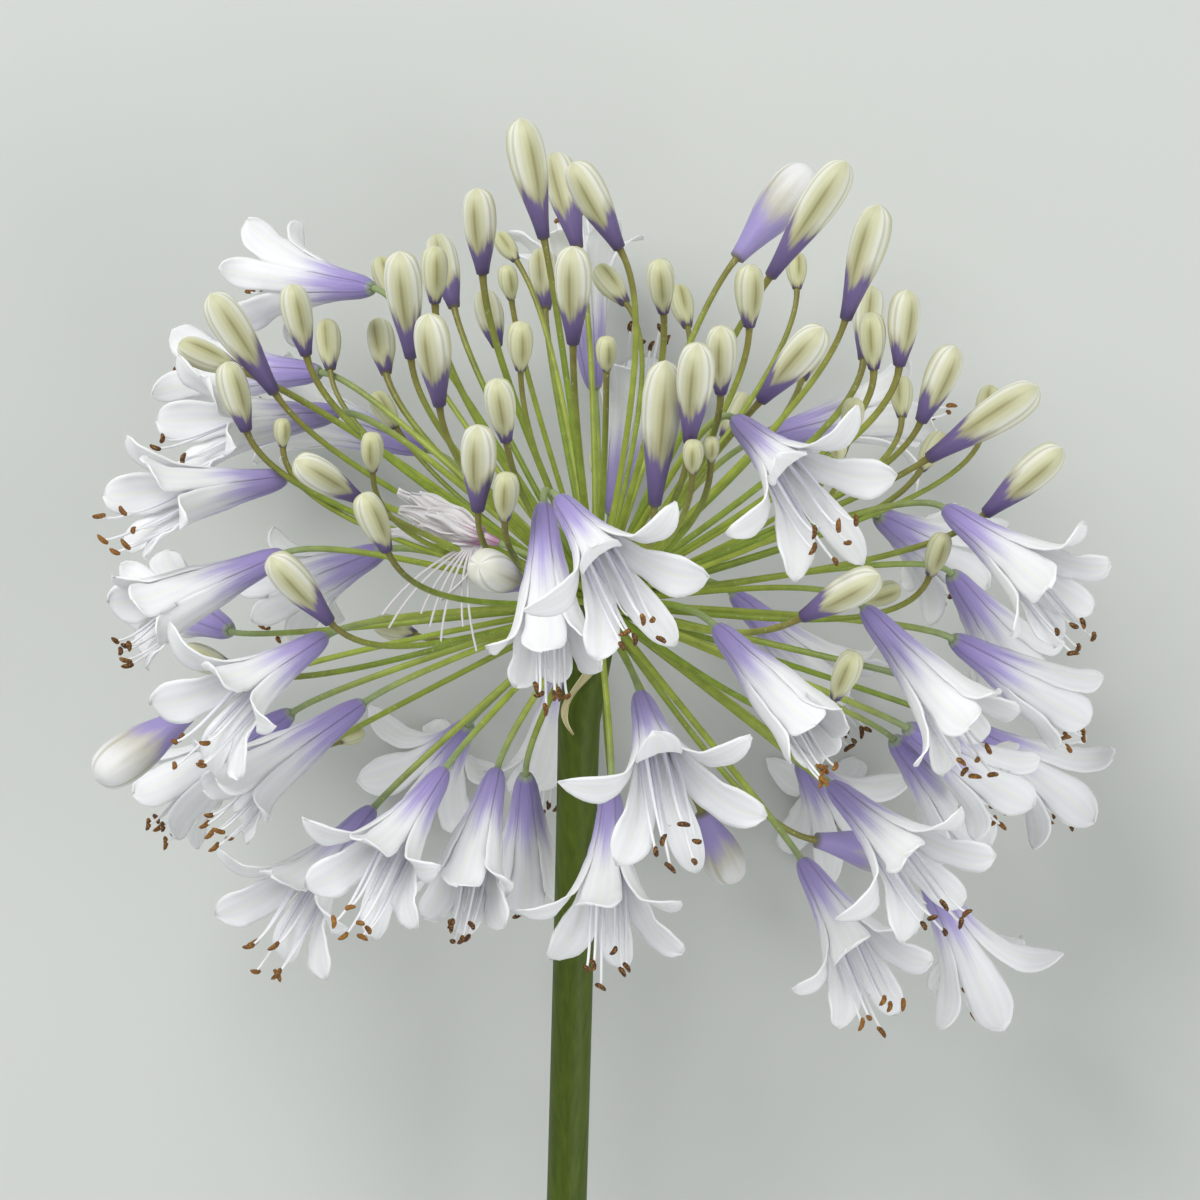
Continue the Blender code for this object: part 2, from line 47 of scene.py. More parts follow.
pedicelLook = {
    "reach": 72.0,
    "solidRadius": 0.95,
    "radius": 0.68,
    "root": 4.0,
    "stations": (0.34, 0.45, 0.56, 0.67, 0.78, 0.88, 0.97),
    "flowerBend": 9.0,
    "budBend": 14.0,
    "scar": ((1.0, 0.0), (1.22, 0.25), (1.15, 0.7), (0.75, 0.75), (0.6, 0.3), (0.05, 0.3)),
    "sides": 10,
    "rows": 24,
}
bloomLook = {
    "length": 39.0,
    "mouthHeight": 36.3,
    "tubeLength": 15.0,
    "tubeRadius": 4.2,
    "tubeProfile": (
        (0.0, 0.75), (0.7, 1.4), (2.0, 1.9), (4.0, 2.4), (7.0, 2.8), (10.0, 3.2), (12.5, 3.6)),
    "innerWidths": ((0.0, 4.8), (0.25, 6.2), (0.48, 8.2), (0.67, 9.7), (0.84, 8.9), (1.0, 6.1)),
    "outerWidths": ((0.0, 4.4), (0.25, 5.3), (0.48, 6.3), (0.67, 6.9), (0.84, 6.1), (1.0, 4.4)),
    "innerFlare": (0.8, 1.08),
    "outerFlare": (0.98, 1.28),
    "thickness": 0.4,
    "across": 11,
    "rows": 20,
    "wave": 0.45,
    "innerCurl": (0.3, 2.6),
    "outerCurl": (2.2, 5.4),
}
budLook = {
    "width": 8.8,
    "widening": 11.5,
    "separate": 20.5,
    "ripeSwell": 1.3,
    "profilePlaces": (0.0, 0.12, 0.3, 0.5, 0.66, 0.82, 0.92, 1.0),
    "stoutProfile": (0.40, 0.55, 0.82, 0.98, 0.99, 0.88, 0.70, 0.42),
    "slimProfile": (0.31, 0.41, 0.62, 0.88, 0.99, 0.95, 0.77, 0.44),
    "sides": 36,
    "rows": 22,
}

# Open flowers: foot across and up, mouth across and up, depth of the foot,
# mouth nearer (1) or farther (-1) than the foot, and how wide the mouth is.
seenBlooms = (
    (-47, 66, -72, 69, -10, -1, 0.80),
    (-56, 48, -84, 48, -25, -1, 0.75),
    (-53, 41, -81, 31, -2, 1, 0.75),
    (-66, 31, -94, 16, 15, 1, 0.65),
    (-66, 13, -98, 3, 20, 1, 0.45),
    (-57, -7, -82, -24, 35, 1, 0.85),
    (-49, -21, -78, -42, 18, 1, 0.55),
    (-47, -43, -67, -66, 4, 1, 1.00),
    (-32, -35, -48, -59, 30, 1, 0.80),
    (-26, -26, -28, -36, -38, -1, 0.90),
    (-21, -35, -28, -62, 10, 1, 0.45),
    (-15, -36, -15, -61, -12, -1, 0.35),
    (3, -39, 2, -70, 14, 1, 0.90),
    (9, -19, 16, -43, 50, 1, 1.10),
    (-12, 21, -10, -13, 58, 1, 0.50),
    (-8, 22, 8, 1, 68, 1, 1.05),
    (29, 39, 47, 20, 45, 1, 1.10),
    (25, -5, 46, -28, 50, 1, 0.25),
    (56, -1, 79, -28, 35, 1, 0.60),
    (73, 20, 97, 1, 20, 1, 0.65),
    (74, 8, 90, -10, -20, -1, 0.60),
    (74, -8, 99, -25, 5, -1, 0.40),
    (49, -38, 70, -58, 35, 1, 0.90),
    (43, -54, 58, -78, 8, 1, 0.80),
    (63, -29, 77, -46, -8, -1, 0.60),
    (65, -26, 87, -37, 14, -1, 0.55),
    (69, -57, 83, -81, -12, -1, 0.85),
    (76, -28, 98, -41, -20, -1, 0.75),
    (43, -33, 49, -41, -38, -1, 0.95),
    (59, 18, 76, 6, -18, -1, 0.75),
    (-77, -7, -95, 0, -8, -1, 0.50),
    (-45, 11, -68, 2, -12, -1, 0.60),
    (-64, -23, -92, -42, -4, -1, 0.65),
)
# Open flowers under the head: foot across and up, depth, then the way the mouth faces.
underBlooms = (
    (-38, 34, -50, -38, 12, -4),
    (36, 36, -50, 40, 10, -4),
    (0, 46, -48, -6, 38, -2),
    (-8, -6, -66, -12, -36, 2),
    (30, 2, -62, 28, -26, 2),
    (2, 20, -64, 6, 34, 2),
)
resting = (10, 29, 39)  # flowers that touch the surface
# Spent flower: foot across and up, tip across and up, depth. Bare pedicel: end and depth.
wilted = (-21, 12, -41, 19, 31)
stub = (64, -15, 22)
# A bud that points at the viewer: foot across and up, tip across and up, depth and rise.
facingBud = (-15, 5, -24, 9, 52, 20)
# Buds: foot across and up, tip across and up, and how near (to 1) or far (to -1) they stand.
seenBuds = (
    (-11, 76, -16, 101, 1),
    (-4, 74, -9, 95, -1),
    (5, 74, -5, 92, 1),
    (-24, 69, -25, 87, 1),
    (-17, 72, -21, 78, -1),
    (-30, 62, -34, 78, -1),
    (-34, 63, -34, 75, 1),
    (-39, 51, -41, 73, 1),
    (-43, 64, -46, 73, -1),
    (-61, 52, -64, 67, 1),
    (-56, 49, -57, 60, -1),
    (-45, 48, -47, 60, -1),
    (-33, 41, -35, 60, 1),
    (-21, 54, -24, 66, -1),
    (-18, 64, -19, 71, 1),
    (-10, 62, -10, 75, -1),
    (-5, 54, -5, 74, 1),
    (6, 63, 0, 71, -1),
    (2, 49, 2, 56, 1),
    (-16, 49, -16, 59, 1),
    (-19, 34, -21, 47, 1),
    (-24, 19, -24, 37, 1),
    (-20, 17, -20, 27, 1),
    (14, 61, 13, 72, 1),
    (19, 58, 17, 67, -1),
    (32, 58, 32, 71, 1),
    (29, 72, 45, 92, -1),
    (36, 68, 52, 92, 1),
    (52, 59, 59, 83, 1),
    (26, 44, 26, 58, 1),
    (13, 20, 16, 50, 0.8),
    (18, 32, 20, 53, 1),
    (34, 42, 47, 57, 1),
    (43, 47, 46, 57, -1),
    (56, 51, 58, 67, -1),
    (62, 50, 64, 66, 1),
    (59, 49, 59, 61, 1),
    (42, 66, 42, 74, -1),
    (68, 38, 75, 54, 1),
    (53, 35, 54, 43, 1),
    (64, 39, 64, 48, -1),
    (51, 30, 50, 36, 1),
    (69, 30, 92, 45, 1),
    (81, 36, 83, 46, -1),
    (68, 28, 73, 36, -1),
    (81, 18, 97, 32, 1),
    (20, 28, 20, 35, 1),
    (24, 30, 24, 35, 1),
    (-47, 28, -47, 36, 1),
    (-66, 33, -66, 39, 1),
    (-74, 36, -77, 51, 1),
    (-68, 43, -81, 64, 1),
    (-76, 44, -89, 50, 0.4),
    (-50, 22, -63, 30, 1),
    (-44, 11, -49, 23, 1),
    (-56, -4, -68, 10, 1),
    (-76, -14, -87, -8, -1),
    (43, -3, 59, 6, 1),
    (50, -20, 54, -10, 1),
    (70, 6, 73, 15, 1),
    (0, 27, 0, 32, -1),
    (-84, -22, -105, -37, 0.6),
    (-54, -29, -49, -27, -1),
    (22, -44, 29, -59, -1),
    (46, -49, 71, -48, -1),
)
hiddenBuds = 5
ripeBuds = ((29, 72), (22, -44), (46, -49), (-84, -22))  # feet of the buds that are about to open


def unit(vectors):
    return vectors / np.linalg.norm(vectors, axis=-1, keepdims=True)


def smoothStep(low, high, value):
    x = np.clip((value - low) / (high - low), 0, 1)
    return x * x * (3 - 2 * x)


def fromView(across, up, depth):
    nearer = 1 - depth / eyeHeight
    return np.array((across * nearer, up * nearer, depth), dtype=float)


def lobeCurve(opening, q):
    # radius and height of a tepal's middle, from the split (q = 0) to its tip (q = 1)
    radii = (bloomLook["tubeRadius"], 5.0, 4.0 + 5.0 * opening, 3.0 + 14.0 * opening)
    heights = (bloomLook["tubeLength"], 22.0, 34.0 - opening, bloomLook["length"] - 2.5 * opening)
    weights = ((1 - q) ** 3, 3 * q * (1 - q) ** 2, 3 * q * q * (1 - q), q ** 3)
    radius = sum(w * r for w, r in zip(weights, radii))
    height = sum(w * h for w, h in zip(weights, heights))
    return radius, height


class Head:
    # one flower or bud on its pedicel
    def __init__(self, kind, foot, toward, length, opening=0.0):
        self.kind = kind
        self.length = length
        self.opening = opening
        self.foot = foot
        self.end = foot + unit(toward) * length
        self.side = unit(np.cross(toward, (0.31, 0.17, 0.93)))
        self.bow = np.zeros(3)
        self.bend = pedicelLook["flowerBend"] if kind == "bloom" else pedicelLook["budBend"]
        self.width = budLook["width"] * (1 - math.exp(-length / budLook["widening"]))
        self.ripe = 0.0
        self.slim = 1.0

    def ripen(self, share=1.0):
        self.ripe = share
        self.width *= budLook["ripeSwell"]

    def way(self):
        return unit(self.end - self.foot)

    def spheres(self):
        if self.kind != "bloom":
            shares = ((0.12, 0.4), (0.38, 0.85), (0.66, 1.0), (0.9, 0.7), (1.0, 0.25))
            return [(h * self.length, 0.0, 0.0, s * self.width / 2) for h, s in shares]
        found = [(3, 0, 0, 2.4), (9, 0, 0, 3.6), (15, 0, 0, 4.8), (21, 0, 0, 6.0), (31, 0, 0, 5.0)]
        for q, size in ((0.55, 4.2), (0.8, 4.6), (0.97, 2.8)):
            radius, height = lobeCurve(self.opening, q)
            for lobe in range(6):
                found.append((height, radius, lobe * math.tau / 6, size))
        return found


def seenHeads():
    # the flowers and buds of the lists above, as heads
    heads = []
    for across, up, mouthAcross, mouthUp, depth, side, opening in seenBlooms:
        foot = fromView(across, up, depth)
        flat = fromView(mouthAcross, mouthUp, depth) - foot
        run = min(np.linalg.norm(flat), bloomLook["mouthHeight"])
        rise = side * math.sqrt(bloomLook["mouthHeight"] ** 2 - run ** 2)
        heads.append(Head("bloom", foot, flat + (0, 0, rise), bloomLook["length"], opening))
    for across, up, depth, *facing in underBlooms:
        foot = np.array((across, up, depth), dtype=float)
        heads.append(Head("bloom", foot, np.array(facing, dtype=float), bloomLook["length"], 0.8))
    for across, up, tipAcross, tipUp, side in seenBuds:
        out = math.hypot(across, up)
        reach = max(pedicelLook["reach"], out + 3.0)
        depth = side * math.sqrt(reach ** 2 - out ** 2)
        foot = fromView(across, up, depth)
        flat = fromView(tipAcross, tipUp, depth) - foot
        run = np.linalg.norm(flat)
        rise = side * run * min(0.55, abs(depth) / max(out, 1.0))
        heads.append(Head("bud", foot, flat + (0, 0, rise), math.hypot(run, rise)))
        if (across, up) in ripeBuds:
            heads[-1].ripen()
    across, up, tipAcross, tipUp, depth, rise = facingBud
    foot = fromView(across, up, depth)
    toward = fromView(tipAcross, tipUp, depth + rise) - foot
    heads.append(Head("bud", foot, toward, np.linalg.norm(toward)))
    heads[-1].ripen(0.35)
    heads[-1].slim = 0.86
    across, up, tipAcross, tipUp, depth = wilted
    foot = fromView(across, up, depth)
    tip = fromView(tipAcross, tipUp, depth)
    heads.append(Head("wilted", foot, tip - foot, wiltedLook["length"], 0.35))
    foot = fromView(*stub)
    heads.append(Head("stub", foot, foot, 2.0))
    return heads


def hiddenHeads(rng):
    # small buds on the far side, spread by the golden angle
    heads = []
    for i in range(hiddenBuds):
        angle = i * math.pi * (3 - math.sqrt(5))
        depth = -0.25 - 0.5 * (i + 0.5) / hiddenBuds
        flat = math.sqrt(1 - depth ** 2)
        way = np.array((flat * math.cos(angle), flat * math.sin(angle), depth))
        lift = np.array((0.0, 0.35, 0.25))
        heads.append(Head("bud", way * rng.uniform(56, 64), way + lift, rng.uniform(9, 14)))
    return heads


def pedicelControls(foot, end, bow, bend):
    last = foot - unit(end - foot) * bend
    return np.zeros_like(foot), 0.6 * last + bow, last + bow, foot


def curvePoint(controls, s):
    a, b, c, d = controls
    return (1 - s) ** 3 * a + 3 * s * (1 - s) ** 2 * b + 3 * s * s * (1 - s) * c + s ** 3 * d


settleLook = {
    "rounds": 220,
    "clearance": 0.8,
    "stemSpare": 0.3,  # added to a pedicel's radius
    "lowest": 0.8,  # least height of a flower or bud while they are pushed
    "overSurface": 0.5,  # height at which a flower that doesn't rest is kept
    "lookEvery": 5,  # rounds between two searches for near pairs
    "horizon": 15.0,  # how near a pair has to be to be followed until the next search
    "step": 0.45,
    "homing": 0.01,  # pull back to the first place
    "stemGives": 0.5,
    "bowGives": 0.6,
}


def settle(heads):
    # push flowers, buds and pedicels apart until none touches another, and off the surface
    look = settleLook
    foot = np.array([h.foot for h in heads])
    end = np.array([h.end for h in heads])
    bow = np.array([h.bow for h in heads])
    bend = np.array([h.bend for h in heads])[:, None]
    length = np.array([h.length for h in heads])[:, None]
    side = np.array([h.side for h in heads])
    homeFoot, homeEnd = foot.copy(), end.copy()
    rows = np.array([(i, *s) for i, h in enumerate(heads) for s in h.spheres()])
    owner = rows[:, 0].astype(int)
    height, ring, angle, size = (rows[:, k:k + 1] for k in range(1, 5))
    stemOwner = np.repeat(np.arange(len(heads)), len(pedicelLook["stations"]))
    stemS = np.tile(pedicelLook["stations"], len(heads))[:, None]
    allOwner = np.concatenate((owner, stemOwner))
    stemSize = np.full(len(stemOwner), pedicelLook["solidRadius"] + look["stemSpare"])
    allSize = np.concatenate((size[:, 0], stemSize))
    isHead = np.arange(len(allOwner)) < len(owner)
    others = allOwner[:, None] != allOwner[None, :]
    allFirst, allSecond = np.nonzero(np.triu(others & (isHead[:, None] | isHead[None, :])))
    allTouch = allSize[allFirst] + allSize[allSecond] + look["clearance"]
    lowest = -hubPlace[2] + look["lowest"]
    for turn in range(look["rounds"]):
        way = unit(end - foot)
        u = unit(side - (side * way).sum(1)[:, None] * way)
        v = np.cross(way, u)
        out = np.cos(angle) * u[owner] + np.sin(angle) * v[owner]
        controls = pedicelControls(foot[stemOwner], end[stemOwner], bow[stemOwner], bend[stemOwner])
        points = np.concatenate((
            foot[owner] + way[owner] * height + out * ring,
            curvePoint(controls, stemS),
        ))
        if turn % look["lookEvery"] == 0:  # only pairs that can meet before the next look are followed
            gap = points[allFirst] - points[allSecond]
            reachable = np.sqrt((gap * gap).sum(1)) < allTouch + look["horizon"]
            first, second, touch = allFirst[reachable], allSecond[reachable], allTouch[reachable]
        gap = points[first] - points[second]
        distance = np.sqrt((gap * gap).sum(1))
        near = distance < touch
        a, b = first[near], second[near]
        share = ((touch[near] - distance[near]) / (distance[near] + 1e-9))[:, None] * gap[near]
        push = np.zeros_like(points)
        count = np.ones(len(points))
        np.add.at(push, a, share * 0.5)
        np.add.at(push, b, -share * 0.5)
        np.add.at(count, a, 1)
        np.add.at(count, b, 1)
        push /= np.maximum(count - 1, 1)[:, None]
        sunk = lowest + allSize - points[:, 2]
        push[:, 2] += np.where((sunk > 0) & isHead, sunk, 0) * 0.5
        moveFoot, moveEnd, moveBow = np.zeros_like(foot), np.zeros_like(end), np.zeros_like(bow)
        along = height / length[owner]
        np.add.at(moveFoot, owner, push[isHead] * (1 - along))
        np.add.at(moveEnd, owner, push[isHead] * along)
        np.add.at(moveBow, stemOwner, push[~isHead] * look["bowGives"])
        np.add.at(moveFoot, stemOwner, push[~isHead] * stemS ** 3 * look["stemGives"])
        np.add.at(moveEnd, stemOwner, push[~isHead] * stemS ** 3 * look["stemGives"])
        foot += look["step"] * moveFoot + look["homing"] * (homeFoot - foot)
        end += look["step"] * moveEnd + look["homing"] * (homeEnd - end)
        bow += look["step"] * moveBow - look["homing"] * bow
        end = foot + unit(end - foot) * length
    for i, head in enumerate(heads):
        head.foot, head.end, head.bow = foot[i], end[i], bow[i]
        way = head.way()
        head.side = unit(side[i] - side[i].dot(way) * way)


def placed(local, head, start=0.0):
    # points given as side, other side and height, set on the head's foot
    way = head.way()
    other = np.cross(way, head.side)
    aside = head.foot + local[..., :1] * head.side + local[..., 1:2] * other
    return aside + (local[..., 2:] + start) * way


def setDown(number, head, points):
    # a resting flower goes down to the surface, and any other is kept a little above it
    low = points[..., 2].min() + hubPlace[2]
    drop = low if number in resting else min(low - settleLook["overSurface"], 0.0)
    shift = np.array((0.0, 0.0, drop))
    head.foot = head.foot - shift
    head.end = head.end - shift


def linear(hexColour):
    # sRGB hex to the linear colour that shaders use
    parts = [int(hexColour[i:i + 2], 16) / 255 for i in (1, 3, 5)]
    return (*[p / 12.92 if p <= 0.04045 else ((p + 0.055) / 1.055) ** 2.4 for p in parts], 1.0)


def connect(tree, node, inputs, links):
    # fixed inputs, and links from sockets or from other nodes' main outputs
    for key, value in inputs.items():
        node.inputs[key].default_value = value
    for key, source in links.items():
        if isinstance(source, bpy.types.Node):
            source = source.outputs[2 if source.bl_idname == "ShaderNodeMix" else 0]
        tree.links.new(source, node.inputs[key])


def addNode(tree, kind, settings=None, inputs=None, links=None):
    # one shader node with its own settings, fixed inputs and links
    node = tree.nodes.new("ShaderNode" + kind)
    for key, value in (settings or {}).items():
        setattr(node, key, value)
    connect(tree, node, inputs or {}, links or {})
    return node


# Node settings that many nodes share. A Map Range goes from inputs 1 and 2 to inputs 3 and 4, which
# are 0 and 1 where nothing is said, and a Mix takes its share at 0 and two colours at 6 and 7.
smoothly = {"interpolation_type": "SMOOTHSTEP"}
inColour = {"data_type": "RGBA"}
times = {"operation": "MULTIPLY"}
minus = {"operation": "SUBTRACT"}
plus = {"operation": "ADD"}
bands = {"wave_type": "BANDS", "bands_direction": "X"}


def readLayer(tree, name):
    # the two numbers of a UV layer: place across and along for spot, what the piece is for kind
    numbers = addNode(tree, "SeparateXYZ", links={0: addNode(tree, "UVMap", {"uv_map": name})})
    return numbers.outputs[0], numbers.outputs[1]


def addStreaks(tree, across, along, own, spread, stretch):
    # where a petal's or bud's patterns are read, shifted by its own number, and lengthwise streaks
    third = addNode(tree, "Math", times, {1: spread}, {0: own})
    place = addNode(tree, "CombineXYZ", links={0: across, 1: along, 2: third})
    stretched = addNode(tree, "Mapping", {}, {3: stretch}, {0: place})
    streak = addNode(tree, "TexNoise", {}, {"Scale": 1.0, "Detail": 3.0}, {"Vector": stretched})
    return place, streak


def newMaterial(name):
    # a material with its node tree and its surface shader
    material = bpy.data.materials.new(name)
    material.use_nodes = True
    tree = material.node_tree
    return material, tree, tree.nodes["Principled BSDF"]


class Shape:
    # points, faces, material numbers and two layers of UVs, gathered for one piece
    def __init__(self):
        self.points, self.faces, self.slots, self.spots, self.kinds = [], [], [], [], []
        self.total = 0

    def add(self, points, faces, spots, kinds, slot=0):
        points = np.asarray(points, dtype=float).reshape(-1, 3)
        self.points.append(points)
        self.faces += [tuple(i + self.total for i in f) for f in faces]
        self.slots += [slot] * len(faces)
        self.spots.append(np.asarray(spots, dtype=float).reshape(-1, 2))
        self.kinds.append(np.broadcast_to(np.asarray(kinds, dtype=float), (len(points), 2)))
        self.total += len(points)

    def addTube(self, grid, kinds, slot=0, spots=None):
        # rings joined into a tube, open at both ends
        rows, sides = grid.shape[:2]
        spots = gridSpots(rows, sides) if spots is None else spots
        self.add(grid, gridFaces(rows, sides, wrap=True), spots, kinds, slot)

    def addSheet(self, points, kinds, spots=None):
        # a thin closed sheet from its front grid and back grid
        rows, columns = len(points) // 2, points.shape[1]
        spots = sheetSpots(rows, columns) if spots is None else spots
        self.add(points, sheetFaces(rows, columns), spots, kinds)

    def piece(self, name, materials, slotName, *replaces):
        points = (np.concatenate(self.points) + hubPlace) * 0.001
        mesh = bpy.data.meshes.new(name)
        mesh.from_pydata(points.tolist(), [], self.faces)
        mesh.polygons.foreach_set("material_index", self.slots)
        corners = np.empty(len(mesh.loops), dtype=np.int32)
        mesh.loops.foreach_get("vertex_index", corners)
        for layer, values in (("spot", self.spots), ("kind", self.kinds)):
            flat = np.concatenate(values)[corners]
            mesh.uv_layers.new(name=layer).data.foreach_set("uv", flat.astype(np.float32).ravel())
        mesh.shade_smooth()
        for material in materials:
            mesh.materials.append(material)
        thing = bpy.data.objects.new(name, mesh)
        bpy.context.scene.collection.objects.link(thing)
        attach(thing, "root")
        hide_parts(*replaces)


def gridFaces(rows, columns, wrap=False, flip=False):
    faces = []
    for i in range(rows - 1):
        for j in range(columns if wrap else columns - 1):
            a, b = i * columns + j, i * columns + (j + 1) % columns
            face = (a, b, b + columns, a + columns)
            faces.append(face[::-1] if flip else face)
    return faces


def gridSpots(rows, columns):
    u, v = np.meshgrid(np.linspace(0, 1, columns), np.linspace(0, 1, rows))
    return np.stack((u, v), axis=-1)


def sheetSpots(rows, columns):
    return np.concatenate([gridSpots(rows, columns)] * 2)


def sheetFaces(rows, columns):
    # front grid, back grid and the rim between them
    size = rows * columns
    faces = gridFaces(rows, columns)
    faces += [tuple(i + size for i in f) for f in gridFaces(rows, columns, flip=True)]
    rim = list(range(columns))
    rim += [i * columns + columns - 1 for i in range(1, rows)]
    rim += [(rows - 1) * columns + j for j in range(columns - 2, -1, -1)]
    rim += [i * columns for i in range(rows - 2, 0, -1)]
    for a, b in zip(rim, rim[1:] + rim[:1]):
        faces.append((b, a, a + size, b + size))
    return faces


def sheetPoints(middle, thickness):
    # the two faces of a sheet from its middle grid
    along = np.gradient(middle, axis=0)
    across = np.gradient(middle, axis=1)
    normal = np.cross(across, along)
    normal /= np.linalg.norm(normal, axis=-1, keepdims=True) + 1e-9
    half = thickness / 2
    return np.concatenate((middle + normal * half, middle - normal * half))


def tubeGrid(centres, radii, sides):
    # rings round a line of centres, turned as little as possible from one to the next
    centres = np.asarray(centres, dtype=float)
    runs = unit(np.gradient(centres, axis=0))
    side = unit(np.cross(runs[0], (0.2, 0.3, 0.93)))
    angles = np.linspace(0, math.tau, sides, endpoint=False)[:, None]
    rings = []
    for centre, run, radius in zip(centres, runs, radii):
        side = unit(side - side.dot(run) * run)
        rings.append(centre + radius * (np.cos(angles) * side + np.sin(angles) * np.cross(run, side)))
    return np.array(rings)


def smoothCurve(xs, ys, x):
    # smooth curve through the given points
    xs, ys = np.asarray(xs, dtype=float), np.asarray(ys, dtype=float)
    slopes = np.gradient(ys, xs)
    k = np.clip(np.searchsorted(xs, x) - 1, 0, len(xs) - 2)
    h = xs[k + 1] - xs[k]
    t = (x - xs[k]) / h
    return ((1 + 2 * t) * (1 - t) ** 2 * ys[k] + t * (1 - t) ** 2 * h * slopes[k]
            + t * t * (3 - 2 * t) * ys[k + 1] + t * t * (t - 1) * h * slopes[k + 1])


def tepalSheet(angle, opening, inner, rng):
    # one tepal's middle surface, with its share of the tube, as rows of points across it
    look = bloomLook
    tubeHeights = np.array([h for h, _ in look["tubeProfile"]])
    tubeRadii = np.array([r for _, r in look["tubeProfile"]])
    q = np.linspace(0, 1, look["rows"]) ** 0.95
    lobeRadii, lobeHeights = lobeCurve(opening, q)
    radius = np.concatenate((tubeRadii, lobeRadii))[:, None]
    height = np.concatenate((tubeHeights, lobeHeights))[:, None]
    free = np.concatenate((np.zeros(len(tubeRadii)), q))[:, None]
    phase = rng.uniform(0, math.tau)
    stations, widths = zip(*look["innerWidths" if inner else "outerWidths"])
    width = smoothCurve(stations, widths, free) * (1 + 0.02 * np.sin(free * 17 + phase))
    width = width + (1.1 * radius - width) * (1 - smoothStep(0.0, 0.12, free))
    rounding = np.clip((free - 0.74) / 0.26, 0, 1)
    width = np.maximum(width * np.sqrt(1 - rounding ** 2.6), 0.4)
    s = np.linspace(-1, 1, look["across"])[None, :]
    slopeR = np.gradient(radius[:, 0])[:, None]
    slopeH = np.gradient(height[:, 0])[:, None]
    size = np.hypot(slopeR, slopeH)
    phi = s * width / (2 * radius)
    cup = 1 - 0.6 * smoothStep(0.2, 0.9, free)
    sink = radius * (1 - np.cos(phi)) * cup
    side = radius * np.sin(phi)
    layer = smoothStep(0.02, 0.25, free) * (-0.15 if inner else 0.5) * (1.5 - opening)
    keel = 0.24 * np.exp(-(s / 0.16) ** 2) * smoothStep(0.0, 0.2, free) * (1 - free ** 2)
    ribs = 0.015 * np.cos(s * 14) * smoothStep(0.05, 0.3, free) * (1 - free ** 4)
    ripple = np.sin(free * 12 + phase + 1.7 * np.sign(s)) * np.abs(s) ** 2.5
    ripple = ripple + 0.35 * np.sin(free * 31 + 2 * phase + np.sign(s)) * np.abs(s) ** 5
    ripple = ripple * look["wave"] * smoothStep(0.2, 0.65, free) * (1.3 if inner else 0.7)
    lift = layer + keel + ribs + ripple - sink
    tip = np.clip((free - 0.5) / 0.5, 0, 1) ** 2
    curl = rng.uniform(*look["innerCurl" if inner else "outerCurl"]) * (0.3 + 0.8 * opening) * tip
    r = radius + lift * slopeH / size + 0.3 * curl
    h = height - lift * slopeR / size - curl
    side = side + rng.uniform(-1.6, 1.6) * free ** 2
    x = r * math.cos(angle) - side * math.sin(angle)
    y = r * math.sin(angle) + side * math.cos(angle)
    return np.stack((x, y, np.broadcast_to(h, x.shape)), axis=-1)


def addBloom(head, number, flares, rng, materials):
    # six tepals in two layers with their tube, then the stamens and the style
    look = bloomLook
    rows = look["rows"] + len(look["tubeProfile"])
    sheets = []
    for lobe in range(6):
        inner = lobe % 2 == 1
        flare = flares[lobe] * rng.uniform(*look["innerFlare" if inner else "outerFlare"])
        middle = tepalSheet(lobe * math.tau / 6, flare, inner, rng)
        sheets.append(sheetPoints(middle, look["thickness"]))
    setDown(number, head, np.concatenate([placed(both, head) for both in sheets]))
    shape = Shape()
    outside = np.repeat((1.0, 0.0), rows * look["across"])
    for both in sheets:
        spots = sheetSpots(rows, look["across"])
        spots[..., 1:] = both[..., 2:] / look["length"]
        kinds = np.stack((outside, np.full(len(outside), rng.random())), axis=-1)
        shape.addSheet(placed(both, head), kinds, spots)
    shape.piece(f"tepals_{number:02d}", [materials["tepal"]], "tepal", f"bloom_{number:02d}")
    addStamens(head, number, rng, materials)


stamenLook = {
    "filament": 0.42,
    "style": 0.3,
    "antherLength": 2.9,
    "antherRadius": 0.55,
    "antherProfile": ((-0.5, 0.1), (-0.42, 0.75), (-0.2, 1.0), (0.1, 0.95), (0.36, 0.7), (0.5, 0.1)),
    "antherSides": 8,
    "start": 12.0,
    "reach": (37.5, 43.0),
    "styleReach": 35.0,
    "overSurface": 0.6,
    "rows": 12,
    "sides": 6,
}


